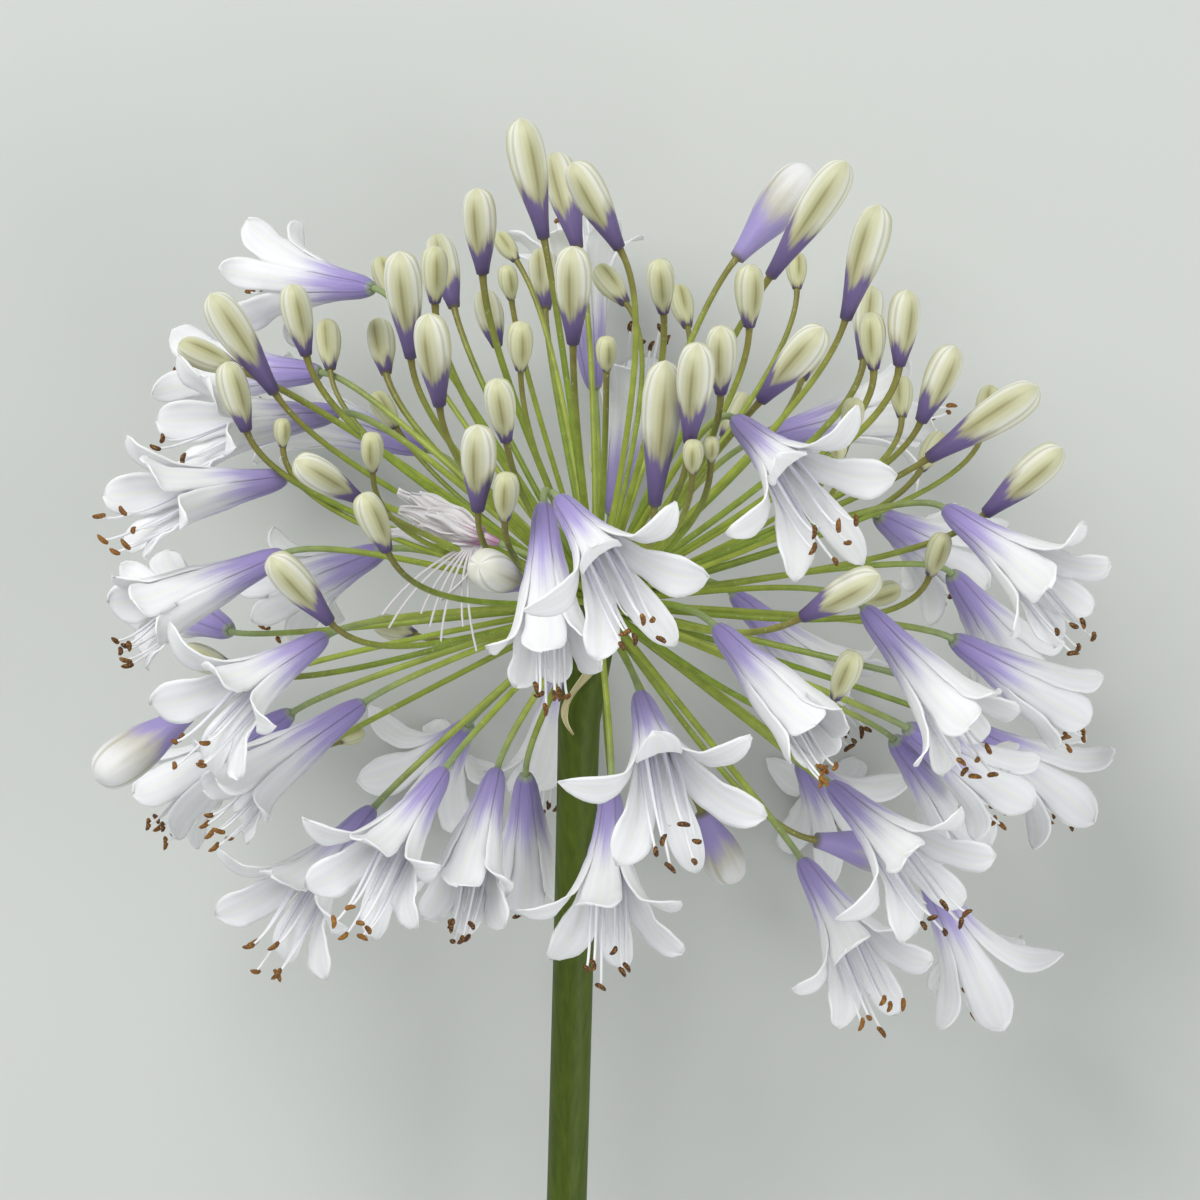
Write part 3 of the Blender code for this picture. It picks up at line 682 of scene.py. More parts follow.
def addStamens(head, number, rng, materials):
    # six white filaments with their anthers and one style: they hang down and turn up at the end
    shape = Shape()
    look = stamenLook
    other = np.cross(head.way(), head.side)
    down = np.array((0.0, -1.0, -0.35))
    sag = np.array((down.dot(head.side), down.dot(other), 0.0))
    spread = 1.2 + 3.4 * head.opening
    floor = look["overSurface"] - hubPlace[2]
    steps = np.linspace(0, 1, look["rows"])[:, None]
    shares, antherRadii = np.array(look["antherProfile"]).T
    own = rng.random()
    for i in range(7):
        style = i == 6
        angle = (i + 0.5) * math.tau / 6
        out = np.array((math.cos(angle), math.sin(angle), 0.0)) * (0.1 if style else 1.0)
        far = look["styleReach"] if style else rng.uniform(*look["reach"])
        start = out * 2.4 + (0, 0, look["start"])
        mid = out * (2.2 + 0.5 * spread) + sag * 0.8 + (0, 0, 2 * look["start"])
        late = out * spread * 0.75 + sag * 6.5 + (0, 0, far - 6)
        tip = out * spread * rng.uniform(0.7, 1.2) + sag * rng.uniform(4.0, 6.5) + (0, 0, far)
        line = placed(curvePoint((start, mid, late, tip), steps), head)
        line[:, 2] = np.maximum(line[:, 2], floor)
        radii = look["style" if style else "filament"] * np.linspace(1.1, 0.6, look["rows"])
        shape.addTube(tubeGrid(line, radii, look["sides"]), (own, 0.5))
        if not style:
            turn = np.array([rng.uniform(-1, 1) for _ in range(3)])
            run = unit(turn + unit(line[-1] - line[-3]) * 0.8)
            bow = unit(np.cross(run, (0.3, 0.8, 0.5)))
            spine = line[-1] + run * (shares * look["antherLength"] * rng.uniform(0.8, 1.1))[:, None]
            spine = spine + bow * ((shares * 2) ** 2 * 0.45)[:, None]
            spine[:, 2] = np.maximum(spine[:, 2], floor)
            grid = tubeGrid(spine, look["antherRadius"] * antherRadii, look["antherSides"])
            shape.addTube(grid, (own, 0.65 * own + 0.35 * rng.random()), 1)
    shape.piece(f"stamens_{number:02d}", [materials["filament"], materials["anther"]], "tepal",
                f"bloom_{number:02d}")


def budGrid(head, rng):
    # a closed bud: narrow tube, long swollen middle, blunt tip, with lobes and three seams
    look = budLook
    length, half = head.length, head.slim * head.width / 2
    slender = min(max((length - 8) / 18, 0), 1)
    x = np.sin(np.linspace(0, 1, look["rows"]) * math.pi / 2)
    x = 0.5 * x + 0.5 * np.linspace(0, 1, look["rows"])
    x[1] = 0.02
    stout, slim = np.array(look["stoutProfile"]), np.array(look["slimProfile"])
    radius = smoothCurve(look["profilePlaces"], stout + (slim - stout) * slender, x) * half
    tip = x > 0.92
    radius[tip] *= np.sqrt(np.clip(1 - ((x[tip] - 0.92) / 0.08) ** 2, 0, 1))
    radius = np.maximum(radius, np.where(x < 0.3, 0.85, 0.02))
    radius[0] = 0.6
    angles = np.linspace(0, math.tau, look["sides"], endpoint=False)[None, :]
    # one outer tepal's midrib is turned roughly up, towards the viewer
    other = np.cross(head.way(), head.side)
    turn = rng.uniform(-0.45, 0.45) - math.atan2(other[2], head.side[2])
    lobes = 1 + 0.03 * np.cos(3 * (angles + turn)) + 0.015 * np.cos(6 * (angles + turn))
    seam = np.exp(-((1 + np.cos(3 * (angles + turn))) / 0.2) ** 2)
    high = smoothStep(0.3, 0.6, x)[:, None] * (0.025 + 0.09 * smoothStep(0.8, 1.0, x)[:, None])
    r = radius[:, None] * (lobes - seam * high)
    z = np.broadcast_to((x * length)[:, None], r.shape)
    grid = np.stack((r * np.cos(angles), r * np.sin(angles), z), axis=-1)
    u = (angles + turn) / math.tau
    spots = np.stack((np.broadcast_to(u, r.shape), np.broadcast_to(x[:, None], r.shape)), axis=-1)
    return grid, spots


def budKind(head, rng):
    # how far up the violet goes, and a number of the bud's own
    reach = 0.05 + 0.33 * float(smoothStep(8.0, 21.0, head.length))
    return 0.40 + 0.06 * head.ripe if head.ripe else reach, rng.random()


def addBuds(heads, rng, materials):
    # long buds are pieces of their own, and short ones share a piece
    small = Shape()
    number = 0
    for head in heads:
        if head.kind != "bud":
            continue
        grid, spots = budGrid(head, rng)
        kinds = budKind(head, rng)
        if head.length >= budLook["separate"]:
            number += 1
            shape = Shape()
            shape.addTube(placed(grid, head, 0.2), kinds, spots=spots)
            shape.piece(f"largeBud_{number:02d}", [materials["bud"]], "bud", f"bud_{number:02d}")
        else:
            small.addTube(placed(grid, head, -0.2), kinds, spots=spots)
    small.piece("smallBuds", [materials["bud"]], "bud", "stalk")


def addPedicels(heads, rng, materials):
    # every pedicel, from the hub to its flower or bud; the one without a flower ends in a pale scar
    shape = Shape()
    look = pedicelLook
    for head in heads:
        controls = pedicelControls(head.foot, head.end, head.bow, head.bend)
        start = unit(controls[1]) * look["root"]
        line = curvePoint(controls, np.linspace(0.05, 1, look["rows"])[:, None])
        line = np.concatenate((start[None, :], line[np.linalg.norm(line, axis=1) > look["root"] + 2]))
        bare = head.kind == "stub"
        if not bare:
            line = np.concatenate((line, (head.foot + head.way() * 0.8)[None, :]))
        share = np.linspace(0, 1, len(line))
        swell = 1 + 0.3 * np.exp(-(share / 0.12) ** 2) + 0.3 * smoothStep(0.9, 1.0, share)
        thin = 0.88 if head.kind == "bud" and head.length < 12 else 1.0
        radii = look["radius"] * swell * thin * rng.uniform(0.92, 1.1)
        grid = tubeGrid(line, radii, look["sides"])
        kinds = (1.0 if head.kind == "bud" else 0.0, rng.random())
        shape.addTube(grid, kinds)
        if bare:
            middle = grid[-1].mean(axis=0)
            out = unit(line[-1] - line[-2])
            rings = [middle + (grid[-1] - middle) * k + out * rise for k, rise in look["scar"]]
            spots = [(j / look["sides"], 1.0) for j in range(look["sides"])] * len(rings)
            shape.addTube(np.array(rings), kinds, 1, spots)
    shape.piece("pedicels", [materials["pedicel"], materials["cut"]], "stalk", "stalk")


stalkLook = {
    "scapeLength": 285.0,
    "scapeRadius": 4.3,
    "scapeLean": 0.026,
    "scapeStep": 3.2,
    "overSurface": 0.15,
    "cutRings": (1.0, 0.93, 0.7, 0.4, 0.05),
    "cutHollow": 0.35,  # how far the pith stands back in the cut end
    "sides": 30,
    "rows": 70,
    "hubRadius": 7.2,
    "hubTurns": 28,
    "hubSteps": 15,
}


def addScape(materials):
    # the stalk below the hub, softly ribbed, with its cut end, and the hub on top
    shape = Shape()
    look = stalkLook
    sides = look["sides"]
    share = np.linspace(0, 1, look["rows"])
    down = look["scapeLength"] * share
    aside = -look["scapeStep"] * np.minimum(down / 25.0, 1.0) - look["scapeLean"] * down
    drop = -(hubPlace[2] - look["scapeRadius"]) * share
    line = np.stack((aside, -down, drop), axis=-1)
    line[:, 0] += 0.5 * np.sin(share * 7.0) * share * (1 - share)
    radii = look["scapeRadius"] * (1 + 0.16 * np.exp(-(share / 0.07) ** 2))
    grid = tubeGrid(line, radii, sides)
    middle = line[:, None, :]
    angles = np.linspace(0, math.tau, sides, endpoint=False)
    ribs = 1 + 0.012 * np.cos(9 * angles) + 0.008 * np.cos(5 * angles + 1.0)
    grid = middle + (grid - middle) * ribs[None, :, None]
    grid[..., 2] = np.maximum(grid[..., 2], -hubPlace[2] + look["overSurface"])
    shape.addTube(grid, (0.5, 0.5))
    rim = grid[-1]
    centre = rim.mean(axis=0)
    run = unit(line[-1] - line[-2])
    inward = look["cutRings"]
    rings = [centre + (rim - centre) * k - run * look["cutHollow"] * (1 - k) for k in inward]
    spots = [[(j / sides, 1 - k) for j in range(sides)] for k in inward]
    faces = gridFaces(len(inward), sides, wrap=True)
    faces.append(tuple((len(inward) - 1) * sides + j for j in range(sides)))
    shape.add(rings, faces, spots, (0.5, 0.5), 1)
    theta = np.linspace(0.02, math.pi - 0.02, look["hubSteps"])[:, None]
    phi = np.linspace(0, math.tau, look["hubTurns"], endpoint=False)[None, :]
    x = np.sin(theta) * np.cos(phi)
    y = np.broadcast_to(np.cos(theta), x.shape)
    ball = np.stack((x, y, np.sin(theta) * np.sin(phi)), axis=-1) * look["hubRadius"]
    shape.addTube(ball, (0.5, 0.5), spots=gridSpots(*ball.shape[:2]) * (1, 0.05))
    shape.piece("scape", [materials["scape"], materials["cut"]], "stalk", "stalk")


wiltedLook = {
    "length": 21.0,
    "tubeLength": 6.5,
    "strips": 8,
    "thickness": 0.25,
    "rows": 22,
    "across": 7,
    "threads": 7,
    "threadRadius": (0.36, 0.24),
    "threadRows": 12,
}


def addWilted(head, rng, materials):
    # shrivelled, twisted tepals of the spent flower, with dried threads and one that hangs down
    shape = Shape()
    look = wiltedLook
    line = np.linspace(0, look["tubeLength"], 7)
    grid = tubeGrid(np.stack((0 * line, 0 * line, line), axis=-1), 0.9 + 0.17 * line, 10)
    shape.addTube(placed(grid, head), (0.5, 0.2), spots=gridSpots(*grid.shape[:2]) * (1, 0.3))
    t = np.linspace(0, 1, look["rows"])[:, None]
    s = np.linspace(-1, 1, look["across"])[None, :]
    for i in range(look["strips"]):
        angle = i * math.tau / look["strips"] + rng.uniform(-0.3, 0.3)
        radius = 1.5 + rng.uniform(1.0, 5.5) * t ** 1.4 - rng.uniform(0.0, 1.5) * t ** 4
        height = 3.5 + (look["length"] - 3.5) * rng.uniform(0.7, 1.2) * t
        width = rng.uniform(1.4, 2.6) * np.sin(math.pi * (0.16 + 0.74 * t)) + 0.1
        twist = rng.uniform(-1.8, 1.8) * t
        wobble = 0.9 * np.sin(t * 6 + rng.uniform(0, 6)) * t
        pleat = 0.45 * np.sin(s * 5 + rng.uniform(0, 6)) + 0.3 * np.sin(14 * t + 3 * s + i)
        side = s * width * np.cos(twist) + wobble
        r = radius + s * width * np.sin(twist) + pleat * smoothStep(0.0, 0.3, t)
        x = r * math.cos(angle) - side * math.sin(angle)
        y = r * math.sin(angle) + side * math.cos(angle)
        middle = np.stack((x, y, np.broadcast_to(height, x.shape)), axis=-1)
        shape.addSheet(placed(sheetPoints(middle, look["thickness"]), head), (0.5, rng.random()))
    foot = head.foot + head.way() * 4
    aside = np.array((-1.0, 0.0, 0.0))
    down = np.array((0.0, -1.0, -0.15))
    for i in range(look["threads"]):
        fan = (i + 0.5) / look["threads"]
        reach = rng.uniform(17, 25)
        mid = foot + aside * 3 + down * 2
        late = foot + (aside * (1.2 - fan) + down * (0.5 + 0.5 * fan)) * reach * 0.55
        tip = late + (aside * (0.7 - fan) + down * 0.9) * reach * 0.5
        thread = curvePoint((foot, mid, late, tip), np.linspace(0, 1, look["threadRows"])[:, None])
        grid = tubeGrid(thread, np.linspace(*look["threadRadius"], look["threadRows"]), 5)
        shape.addTube(grid, (0.5, 0.9), spots=np.full((*grid.shape[:2], 2), (0.5, 0.95)))
    mid = foot + aside * 1 + down * 5
    late = foot + aside * 3 + down * 10
    tip = foot + aside * 8 + down * 13
    spine = curvePoint((foot, mid, late, tip), t)
    width = 1.1 * np.sin(math.pi * (0.12 + 0.8 * t)) + 0.15
    lean = np.stack((np.cos(2.2 * t[:, 0]), 0.4 * t[:, 0], np.sin(2.2 * t[:, 0])), axis=-1)
    middle = spine[:, None, :] + (s * width)[..., None] * unit(lean)[:, None, :]
    middle[..., 2] += 0.5 * s ** 2
    hung = sheetSpots(look["rows"], look["across"]) * (1, 0.6) + (0, 0.4)
    shape.addSheet(sheetPoints(middle, look["thickness"]), (0.5, 0.6), hung)
    shape.piece("spentFlower", [materials["faded"]], "faded_tepal", "wilted_bloom")


sheathLook = {
    "stations": (0.0, 0.3, 0.55, 0.82, 1.0),
    "across": (-1.4, -5.2, -6.7, -6.3, -4.9),
    "down": (14.2, 18.6, 21.8, 25.2, 27.6),
    "depth": (2.05, 1.35, 1.95, 2.95, 3.35),
    "half": (0.9, 0.85, 0.75, 0.6, 0.25),
    "thickness": 0.25,
    "rows": 34,
    "columns": 7,
}


def addSheath(materials):
    # the dry sheath's rest: a narrow curled strip on the front of the scape
    shape = Shape()
    look = sheathLook
    share = np.linspace(0, 1, look["rows"])
    across, down, depth, half = (
        smoothCurve(look["stations"], look[k], share) for k in ("across", "down", "depth", "half"))
    line = np.stack((across, -down, depth), axis=-1)
    run = unit(np.gradient(line, axis=0))
    flat = unit(np.cross(run, (0.0, 0.0, 1.0)))
    rise = np.cross(flat, run)
    turn = (0.9 * np.sin(share * 5.0))[:, None]
    lean = flat * np.cos(turn) + rise * np.sin(turn)
    s = np.linspace(-1, 1, look["columns"])
    middle = line[:, None, :] + (s[None, :] * half[:, None])[..., None] * lean[:, None, :]
    cup = 0.4 * (s ** 2)[None, :, None] * half[:, None, None]
    middle = middle + cup * np.cross(lean, run)[:, None, :]
    shape.addSheet(sheetPoints(middle, look["thickness"]), (0.5, 0.5))
    shape.piece("drySheath", [materials["sheath"]], "dry_sheath", "spathe_remnant")


def tepalMaterial():
    # soft white petal tissue: satin, faintly ribbed, with a violet tube that runs up the midribs
    material, tree, shader = newMaterial("tepalWhiteSatin")
    across, along = readLayer(tree, "spot")
    outside, own = readLayer(tree, "kind")
    centred = addNode(tree, "Math", minus, {1: 0.5}, {0: across})
    offMid = addNode(tree, "Math", {"operation": "ABSOLUTE"}, links={0: centred})
    rib = addNode(tree, "MapRange", smoothly, {1: 0.30, 2: 0.0}, {0: offMid})
    place, streak = addStreaks(tree, across, along, own, 40.0, (16.0, 2.0, 1.0))
    # the violet fades out at about two fifths of the length, higher on the midrib and in streaks
    ribLift = addNode(tree, "Math", times, {1: 0.10}, {0: rib})
    streakLift = addNode(tree, "Math", times, {1: 0.16}, {0: streak})
    edge = addNode(tree, "Math", minus, links={0: along, 1: ribLift})
    edge = addNode(tree, "Math", minus, links={0: edge, 1: streakLift})
    violet = addNode(tree, "MapRange", smoothly, {1: 0.48, 2: 0.13}, {0: edge})
    face = addNode(tree, "MapRange", {}, {1: 0.0, 2: 1.0, 3: 0.12, 4: 0.95}, {0: outside})
    violet = addNode(tree, "Math", times, links={0: violet, 1: face})
    deep = addNode(tree, "MapRange", {}, {1: 0.0, 2: 0.4}, {0: along})
    tube = addNode(tree, "Mix", inColour, {6: linear("#8170B0"), 7: linear("#B3A6DA")}, {0: deep})
    line = addNode(tree, "MapRange", smoothly, {1: 0.50, 2: 0.72, 4: 0.45}, {0: streak})
    tube = addNode(tree, "Mix", inColour, {7: linear("#6F60A2")}, {0: line, 6: tube})
    # faint veins about a millimetre apart
    veins = addNode(tree, "TexWave", bands, {"Scale": 1.3, "Distortion": 1.2, "Detail": 2.0},
                    {"Vector": place})
    white = addNode(tree, "Mix", inColour, {6: linear("#F0F0EF"), 7: linear("#EBEBED")},
                    {0: veins.outputs["Fac"]})
    warmth = addNode(tree, "MapRange", smoothly, {1: 0.09, 2: 0.0, 4: 0.4}, {0: offMid})
    cream = addNode(tree, "Mix", inColour, {7: linear("#E4E5D6")}, {0: warmth, 6: white})
    colour = addNode(tree, "Mix", inColour, links={0: violet, 6: cream, 7: tube})
    foot = addNode(tree, "MapRange", smoothly, {1: 0.035, 2: 0.0, 4: 0.8}, {0: along})
    colour = addNode(tree, "Mix", inColour, {7: linear("#96A57C")}, {0: foot, 6: colour})
    gloss = addNode(tree, "MapRange", {}, {1: 0.3, 2: 0.7, 3: 0.42, 4: 0.56}, {0: streak})
    bump = addNode(tree, "Bump", {}, {"Strength": 0.05, "Distance": 0.0003},
                   {"Height": veins.outputs["Fac"]})
    connect(tree, shader, {
        "IOR": 1.4, "Subsurface Weight": 0.5, "Subsurface Radius": (1.0, 1.0, 1.0),
        "Subsurface Scale": 0.001, "Sheen Weight": 0.08,
    }, {"Base Color": colour, "Roughness": gloss, "Normal": bump})
    return material


def budMaterial():
    # cream bud skin: dull violet foot with a soft ragged edge, olive midribs, paler sides
    material, tree, shader = newMaterial("budCreamSatin")
    across, along = readLayer(tree, "spot")
    reach, own = readLayer(tree, "kind")
    turn = addNode(tree, "Math", times, {1: 3 * math.tau}, {0: across})
    wave = addNode(tree, "Math", {"operation": "COSINE"}, links={0: turn})
    rib = addNode(tree, "MapRange", smoothly, {1: 0.3, 2: 1.0, 4: 0.85}, {0: wave})
    up = addNode(tree, "MapRange", smoothly, {1: 0.98, 2: 0.7, 3: 0.1, 4: 1.0}, {0: along})
    low = addNode(tree, "MapRange", smoothly, {1: 0.15, 2: 0.5, 4: 0.75}, {0: along})
    stripe = addNode(tree, "Math", times, links={0: rib, 1: up})
    stripe = addNode(tree, "Math", times, links={0: stripe, 1: low})
    streak = addStreaks(tree, across, along, own, 30.0, (20.0, 3.0, 1.0))[1]
    ragged = addNode(tree, "MapRange", {}, {1: 0.3, 2: 0.7, 3: -0.06, 4: 0.06}, {0: streak})
    dip = addNode(tree, "Math", times, {1: 0.06}, {0: wave})
    level = addNode(tree, "Math", minus, links={0: along, 1: reach})
    level = addNode(tree, "Math", plus, links={0: level, 1: ragged})
    level = addNode(tree, "Math", plus, links={0: level, 1: dip})
    # a bud about to open is whiter, and its violet fades over a longer stretch
    ripe = addNode(tree, "MapRange", {}, {1: 0.40, 2: 0.44, 4: 0.85}, {0: reach})
    soften = addNode(tree, "MapRange", {}, {1: 0.0, 2: 0.85, 3: 1.0, 4: 0.4}, {0: ripe})
    level = addNode(tree, "Math", times, links={0: level, 1: soften})
    violet = addNode(tree, "MapRange", smoothly, {1: 0.05, 2: -0.06, 4: 0.96}, {0: level})
    brown = addNode(tree, "MapRange", smoothly, {1: 0.17, 2: 0.0, 4: 0.55}, {0: level})
    pale = addNode(tree, "MapRange", smoothly, {1: 0.2, 2: -1.0}, {0: wave})
    body = addNode(tree, "Mix", inColour, {6: linear("#CBCAA9"), 7: linear("#E3E3D6")}, {0: pale})
    young = addNode(tree, "MapRange", {}, {1: 0.30, 2: 0.06, 4: 0.6}, {0: reach})
    body = addNode(tree, "Mix", inColour, {7: linear("#C5C590")}, {0: young, 6: body})
    body = addNode(tree, "Mix", inColour, {7: linear("#E9E8EA")}, {0: ripe, 6: body})
    unripe = addNode(tree, "Math", minus, {0: 1.0}, {1: ripe})
    stripe = addNode(tree, "Math", times, links={0: stripe, 1: unripe})
    ribbed = addNode(tree, "Mix", inColour, {7: linear("#9E9A64")}, {0: stripe, 6: body})
    # a thin dark line on each midrib, half a millimetre wide
    fine = addNode(tree, "MapRange", smoothly, {1: 0.94, 2: 1.0, 4: 0.75}, {0: wave})
    fine = addNode(tree, "Math", times, links={0: fine, 1: stripe})
    ribbed = addNode(tree, "Mix", inColour, {7: linear("#716A3C")}, {0: fine, 6: ribbed})
    seam = addNode(tree, "MapRange", smoothly, {1: -0.9, 2: -1.0, 4: 0.5}, {0: wave})
    ribbed = addNode(tree, "Mix", inColour, {7: linear("#ADA982")}, {0: seam, 6: ribbed})
    edged = addNode(tree, "Mix", inColour, {7: linear("#97906F")}, {0: brown, 6: ribbed})
    low = addNode(tree, "MapRange", {}, {1: 0.0, 2: 0.3}, {0: along})
    dull = addNode(tree, "Mix", inColour, {6: linear("#4D3D6C"), 7: linear("#6C5B8E")}, {0: low})
    dull = addNode(tree, "Mix", inColour, {7: linear("#A396CE")}, {0: ripe, 6: dull})
    tinted = addNode(tree, "Mix", inColour, links={0: violet, 6: edged, 7: dull})
    foot = addNode(tree, "MapRange", smoothly, {1: 0.05, 2: 0.0, 4: 0.8}, {0: along})
    footed = addNode(tree, "Mix", inColour, {7: linear("#6F6A3A")}, {0: foot, 6: tinted})
    gloss = addNode(tree, "MapRange", {}, {1: 0.3, 2: 0.7, 3: 0.48, 4: 0.62}, {0: streak})
    bump = addNode(tree, "Bump", {}, {"Strength": 0.2, "Distance": 0.0003}, {"Height": streak})
    connect(tree, shader, {
        "IOR": 1.42, "Subsurface Weight": 0.15, "Subsurface Radius": (1.0, 1.0, 0.6),
        "Subsurface Scale": 0.001,
    }, {"Base Color": footed, "Roughness": gloss, "Normal": bump})
    return material


def pedicelMaterial():
    # thin satin stems: yellow-green, browner towards buds, sage towards flowers, finely flecked
    material, tree, shader = newMaterial("pedicelGreenSatin")
    along = readLayer(tree, "spot")[1]
    towardBud, own = readLayer(tree, "kind")
    far = addNode(tree, "MapRange", smoothly, {1: 0.4, 2: 1.0}, {0: along})
    ends = addNode(tree, "Mix", inColour, {6: linear("#8C9C6C"), 7: linear("#7F783A")}, {0: towardBud})
    near = addNode(tree, "Mix", inColour, {6: linear("#849A32"), 7: linear("#A6B248")}, {0: own})
    colour = addNode(tree, "Mix", inColour, links={0: far, 6: near, 7: ends})
    place = addNode(tree, "TexCoord")
    mottle = addNode(tree, "TexNoise", {}, {"Scale": 260.0, "Detail": 4.0},
                     {"Vector": place.outputs["Object"]})
    tint = addNode(tree, "MapRange", {}, {1: 0.3, 2: 0.7, 3: 0.78, 4: 1.12}, {0: mottle})
    shaded = addNode(tree, "HueSaturation", {}, {}, {"Value": tint, "Color": colour})
    # pale flecks half a millimetre wide
    fleck = addNode(tree, "TexNoise", {}, {"Scale": 1400.0, "Detail": 2.0},
                    {"Vector": place.outputs["Object"]})
    amount = addNode(tree, "MapRange", {}, {1: 0.64, 2: 0.74, 4: 0.55}, {0: fleck})
    flecked = addNode(tree, "Mix", inColour, {7: linear("#C3CB9C")}, {0: amount, 6: shaded})
    bump = addNode(tree, "Bump", {}, {"Strength": 0.15, "Distance": 0.0002}, {"Height": fleck})
    connect(tree, shader, {
        "Roughness": 0.4, "IOR": 1.45, "Subsurface Weight": 0.1, "Subsurface Radius": (0.6, 1.0, 0.3),
        "Subsurface Scale": 0.001,
    }, {"Base Color": flecked, "Normal": bump})
    return material


def scapeMaterial():
    # waxy olive-green stalk skin with faint lengthwise streaks
    material, tree, shader = newMaterial("scapeGreenWaxy")
    place = addNode(tree, "TexCoord")
    stretched = addNode(tree, "Mapping", {}, {3: (900.0, 12.0, 900.0)}, {0: place.outputs["Object"]})
    streak = addNode(tree, "TexNoise", {}, {"Scale": 1.0, "Detail": 4.0}, {"Vector": stretched})
    cloud = addNode(tree, "TexNoise", {}, {"Scale": 28.0, "Detail": 2.0},
                    {"Vector": place.outputs["Object"]})
    blend = addNode(tree, "MapRange", {}, {1: 0.3, 2: 0.7}, {0: streak})
    skin = addNode(tree, "Mix", inColour, {6: linear("#3F4F04"), 7: linear("#50620C")}, {0: blend})
    tone = addNode(tree, "MapRange", {}, {1: 0.3, 2: 0.7, 3: 0.9, 4: 1.1}, {0: cloud})
    shaded = addNode(tree, "HueSaturation", {}, {}, {"Value": tone, "Color": skin})
    gloss = addNode(tree, "MapRange", {}, {1: 0.3, 2: 0.7, 3: 0.42, 4: 0.56}, {0: cloud})
    bump = addNode(tree, "Bump", {}, {"Strength": 0.12, "Distance": 0.0003}, {"Height": streak})
    connect(tree, shader,
            {"IOR": 1.45, "Specular IOR Level": 0.35, "Coat Weight": 0.03, "Coat Roughness": 0.35},
            {"Base Color": shaded, "Roughness": gloss, "Normal": bump})
    return material


def cutMaterial():
    # the cut end: moist pale pith with a green rind
    material, tree, shader = newMaterial("scapeCutPith")
    along = readLayer(tree, "spot")[1]
    rind = addNode(tree, "MapRange", smoothly, {1: 0.22, 2: 0.04}, {0: along})
    place = addNode(tree, "TexCoord")
    cells = addNode(tree, "TexVoronoi", {}, {"Scale": 1800.0}, {"Vector": place.outputs["Object"]})
    pith = addNode(tree, "Mix", inColour, {6: linear("#C2CB9A"), 7: linear("#D9E0B8")},
                   {0: cells.outputs["Distance"]})
    colour = addNode(tree, "Mix", inColour, {7: linear("#6F8838")}, {0: rind, 6: pith})
    bump = addNode(tree, "Bump", {}, {"Strength": 0.3, "Distance": 0.0002},
                   {"Height": cells.outputs["Distance"]})
    connect(tree, shader, {"Roughness": 0.35}, {"Base Color": colour, "Normal": bump})
    return material


def filamentMaterial():
    # white, slightly waxy filaments with a lilac breath at the root
    material, tree, shader = newMaterial("filamentWhite")
    along = readLayer(tree, "spot")[1]
    place = addNode(tree, "TexCoord")
    grain = addNode(tree, "TexNoise", {}, {"Scale": 900.0, "Detail": 2.0},
                    {"Vector": place.outputs["Object"]})
    colour = addNode(tree, "Mix", inColour, {6: linear("#DAD6EA"), 7: linear("#F3F3F0")}, {0: along})
    gloss = addNode(tree, "MapRange", {}, {1: 0.3, 2: 0.7, 3: 0.34, 4: 0.5}, {0: grain})
    connect(tree, shader, {"IOR": 1.4}, {"Base Color": colour, "Roughness": gloss})
    return material


def antherMaterial():
    # anthers from dark brown to ochre, dusted with yellow pollen
    material, tree, shader = newMaterial("antherPollen")
    own = readLayer(tree, "kind")[1]
    place = addNode(tree, "TexCoord")
    dust = addNode(tree, "TexNoise", {}, {"Scale": 2500.0, "Detail": 4.0},
                   {"Vector": place.outputs["Object"]})
    age = addNode(tree, "MapRange", {}, {1: 0.35, 2: 1.0}, {0: own})
    dark = addNode(tree, "Mix", inColour, {6: linear("#452A18"), 7: linear("#8E5E24")}, {0: age})
    amount = addNode(tree, "MapRange", {}, {1: 0.5, 2: 0.62, 4: 0.6}, {0: dust})
    colour = addNode(tree, "Mix", inColour, {7: linear("#B9852F")}, {0: amount, 6: dark})
    bump = addNode(tree, "Bump", {}, {"Strength": 0.5, "Distance": 0.0002}, {"Height": dust})
    connect(tree, shader, {"Roughness": 0.8}, {"Base Color": colour, "Normal": bump})
    return material


def fadedMaterial():
    # shrivelled tepals: papery white with magenta veins that gather at the foot
    material, tree, shader = newMaterial("fadedTepalPapery")
    spot = addNode(tree, "UVMap", {"uv_map": "spot"})
    part = addNode(tree, "SeparateXYZ", links={0: spot})
    veins = addNode(tree, "TexWave", bands, {"Scale": 1.6, "Distortion": 2.0, "Detail": 2.0},
                    {"Vector": spot})
    line = addNode(tree, "MapRange", smoothly, {1: 0.55, 2: 1.0}, {0: veins.outputs["Fac"]})
    foot = addNode(tree, "MapRange", smoothly, {1: 0.55, 2: 0.0, 3: 0.1, 4: 1.0}, {0: part.outputs[1]})
    mask = addNode(tree, "Math", times, links={0: line, 1: foot})
    base = addNode(tree, "MapRange", smoothly, {1: 0.22, 2: 0.02, 4: 0.8}, {0: part.outputs[1]})
    both = addNode(tree, "Math", {"operation": "MAXIMUM"}, links={0: mask, 1: base})
    colour = addNode(tree, "Mix", inColour, {6: linear("#E6E2E3"), 7: linear("#9A5580")}, {0: both})
    bump = addNode(tree, "Bump", {}, {"Strength": 0.5, "Distance": 0.0003},
                   {"Height": veins.outputs["Fac"]})
    connect(tree, shader, {
        "Roughness": 0.6, "Subsurface Weight": 0.2, "Subsurface Radius": (1.0, 1.0, 1.0),
        "Subsurface Scale": 0.001,
    }, {"Base Color": colour, "Normal": bump})
    return material


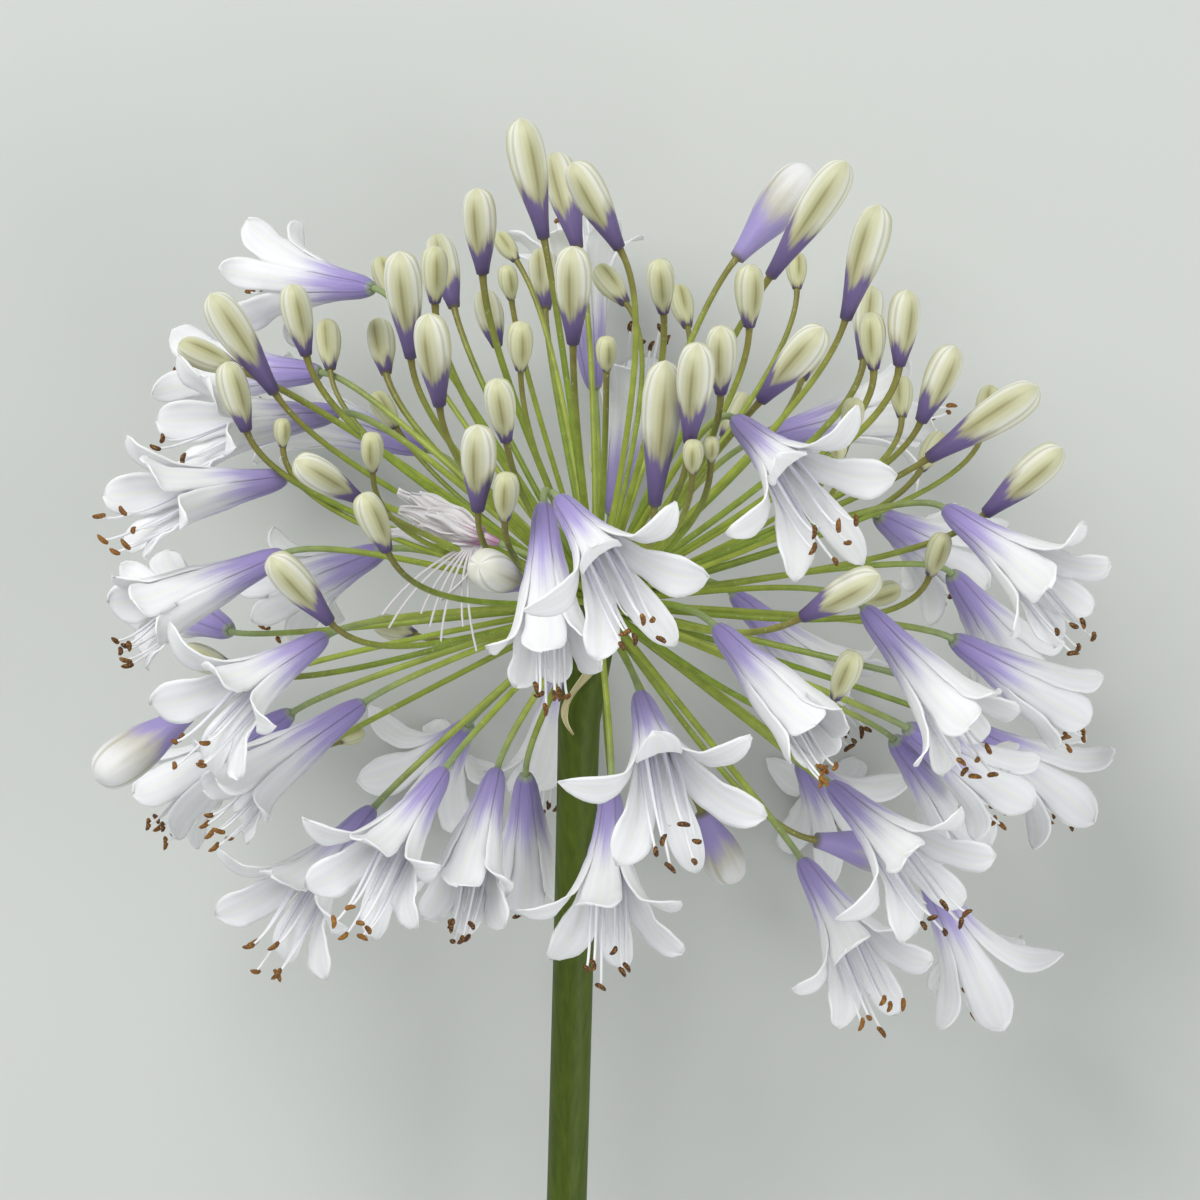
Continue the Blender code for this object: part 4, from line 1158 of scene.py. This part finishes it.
def sheathMaterial():
    # dry pale membrane with brown lengthwise fibres
    material, tree, shader = newMaterial("sheathDryPaper")
    spot = addNode(tree, "UVMap", {"uv_map": "spot"})
    part = addNode(tree, "SeparateXYZ", links={0: spot})
    fibres = addNode(tree, "TexWave", bands, {"Scale": 1.5, "Distortion": 3.0, "Detail": 2.0},
                     {"Vector": spot})
    colour = addNode(tree, "Mix", inColour, {6: linear("#D6CFA4"), 7: linear("#B7A877")},
                     {0: fibres.outputs["Fac"]})
    tip = addNode(tree, "MapRange", smoothly, {1: 0.85, 2: 1.0, 4: 0.6}, {0: part.outputs[1]})
    colour = addNode(tree, "Mix", inColour, {7: linear("#93713F")}, {0: tip, 6: colour})
    bump = addNode(tree, "Bump", {}, {"Strength": 0.5, "Distance": 0.0002},
                   {"Height": fibres.outputs["Fac"]})
    connect(tree, shader, {"Roughness": 0.65}, {"Base Color": colour, "Normal": bump})
    return material


stageLook = {
    "floorHalf": 1.5,
    "floor": "#C9CBC6",
    "softKey": {"place": (-0.5, 0.75, 1.0), "size": 0.7, "power": 9.5},
    "softFill": {"place": (0.9, -0.3, 0.9), "size": 0.9, "power": 5.0},
    "sky": "#EEF2F5",
    "skyStrength": 0.66,
    "eyeAside": (0.63, 0.63),  # lines the view up with the photo
    "sensor": 36.0,
}


def addFloor():
    # pale matte paint, so that the surface gives no shine of its own
    mesh = bpy.data.meshes.new("floor")
    half = stageLook["floorHalf"]
    corners = [(-half, -half, 0), (half, -half, 0), (half, half, 0), (-half, half, 0)]
    mesh.from_pydata(corners, [], [(0, 1, 2, 3)])
    floor = bpy.data.objects.new("floor", mesh)
    bpy.context.scene.collection.objects.link(floor)
    material, tree, shader = newMaterial("floorPaleMatte")
    connect(tree, shader, {"Base Color": linear(stageLook["floor"]), "Roughness": 0.9}, {})
    mesh.materials.append(material)


def addLamp(name, target, place, size, power):
    lamp = bpy.data.lights.new(name, "AREA")
    lamp.shape = "DISK"
    lamp.size = size
    lamp.energy = power
    thing = bpy.data.objects.new(name, lamp)
    bpy.context.scene.collection.objects.link(thing)
    thing.location = place
    aim = np.array(target) - np.array(place)
    thing.rotation_euler = (
        math.atan2(math.hypot(aim[0], aim[1]), -aim[2]), 0.0, math.atan2(aim[0], -aim[1]) + math.pi)


def addStage():
    # soft lamps above the head, and a camera straight over it
    look = stageLook
    addFloor()
    for name in ("softKey", "softFill"):
        addLamp(name, hubPlace * 0.001, **look[name])
    world = bpy.data.worlds.new("studio")
    world.use_nodes = True
    sky = world.node_tree.nodes["Background"]
    connect(world.node_tree, sky, {0: linear(look["sky"]), 1: look["skyStrength"]}, {})
    bpy.context.scene.world = world
    camera = bpy.data.cameras.new("camera")
    camera.sensor_width = look["sensor"]
    camera.lens = look["sensor"] * eyeHeight / photoWidth
    eye = bpy.data.objects.new("camera", camera)
    bpy.context.scene.collection.objects.link(eye)
    eye.location = (hubPlace + (*look["eyeAside"], eyeHeight)) * 0.001
    bpy.context.scene.camera = eye
    bpy.context.scene.view_settings.view_transform = "Standard"


print("placing the flowers and buds")
cadRandom = random.Random(seed)
lookRandom = random.Random(seed + 1)
allHeads = seenHeads() + hiddenHeads(cadRandom)
settle(allHeads)

print("making the materials")
materials = {
    "tepal": tepalMaterial(),
    "bud": budMaterial(),
    "pedicel": pedicelMaterial(),
    "scape": scapeMaterial(),
    "cut": cutMaterial(),
    "filament": filamentMaterial(),
    "anther": antherMaterial(),
    "faded": fadedMaterial(),
    "sheath": sheathMaterial(),
}

print("opening the flowers")
bloomCount = 0
for head in allHeads:
    if head.kind == "bloom":
        bloomCount += 1
        flares = [head.opening * cadRandom.uniform(0.93, 1.07) for _ in range(6)]
        addBloom(head, bloomCount, flares, lookRandom, materials)
    elif head.kind == "wilted":
        addWilted(head, lookRandom, materials)

print("adding buds, pedicels, stalk and sheath")
addBuds(allHeads, lookRandom, materials)
addPedicels(allHeads, lookRandom, materials)
addScape(materials)
addSheath(materials)

print("setting the stage")
addStage()
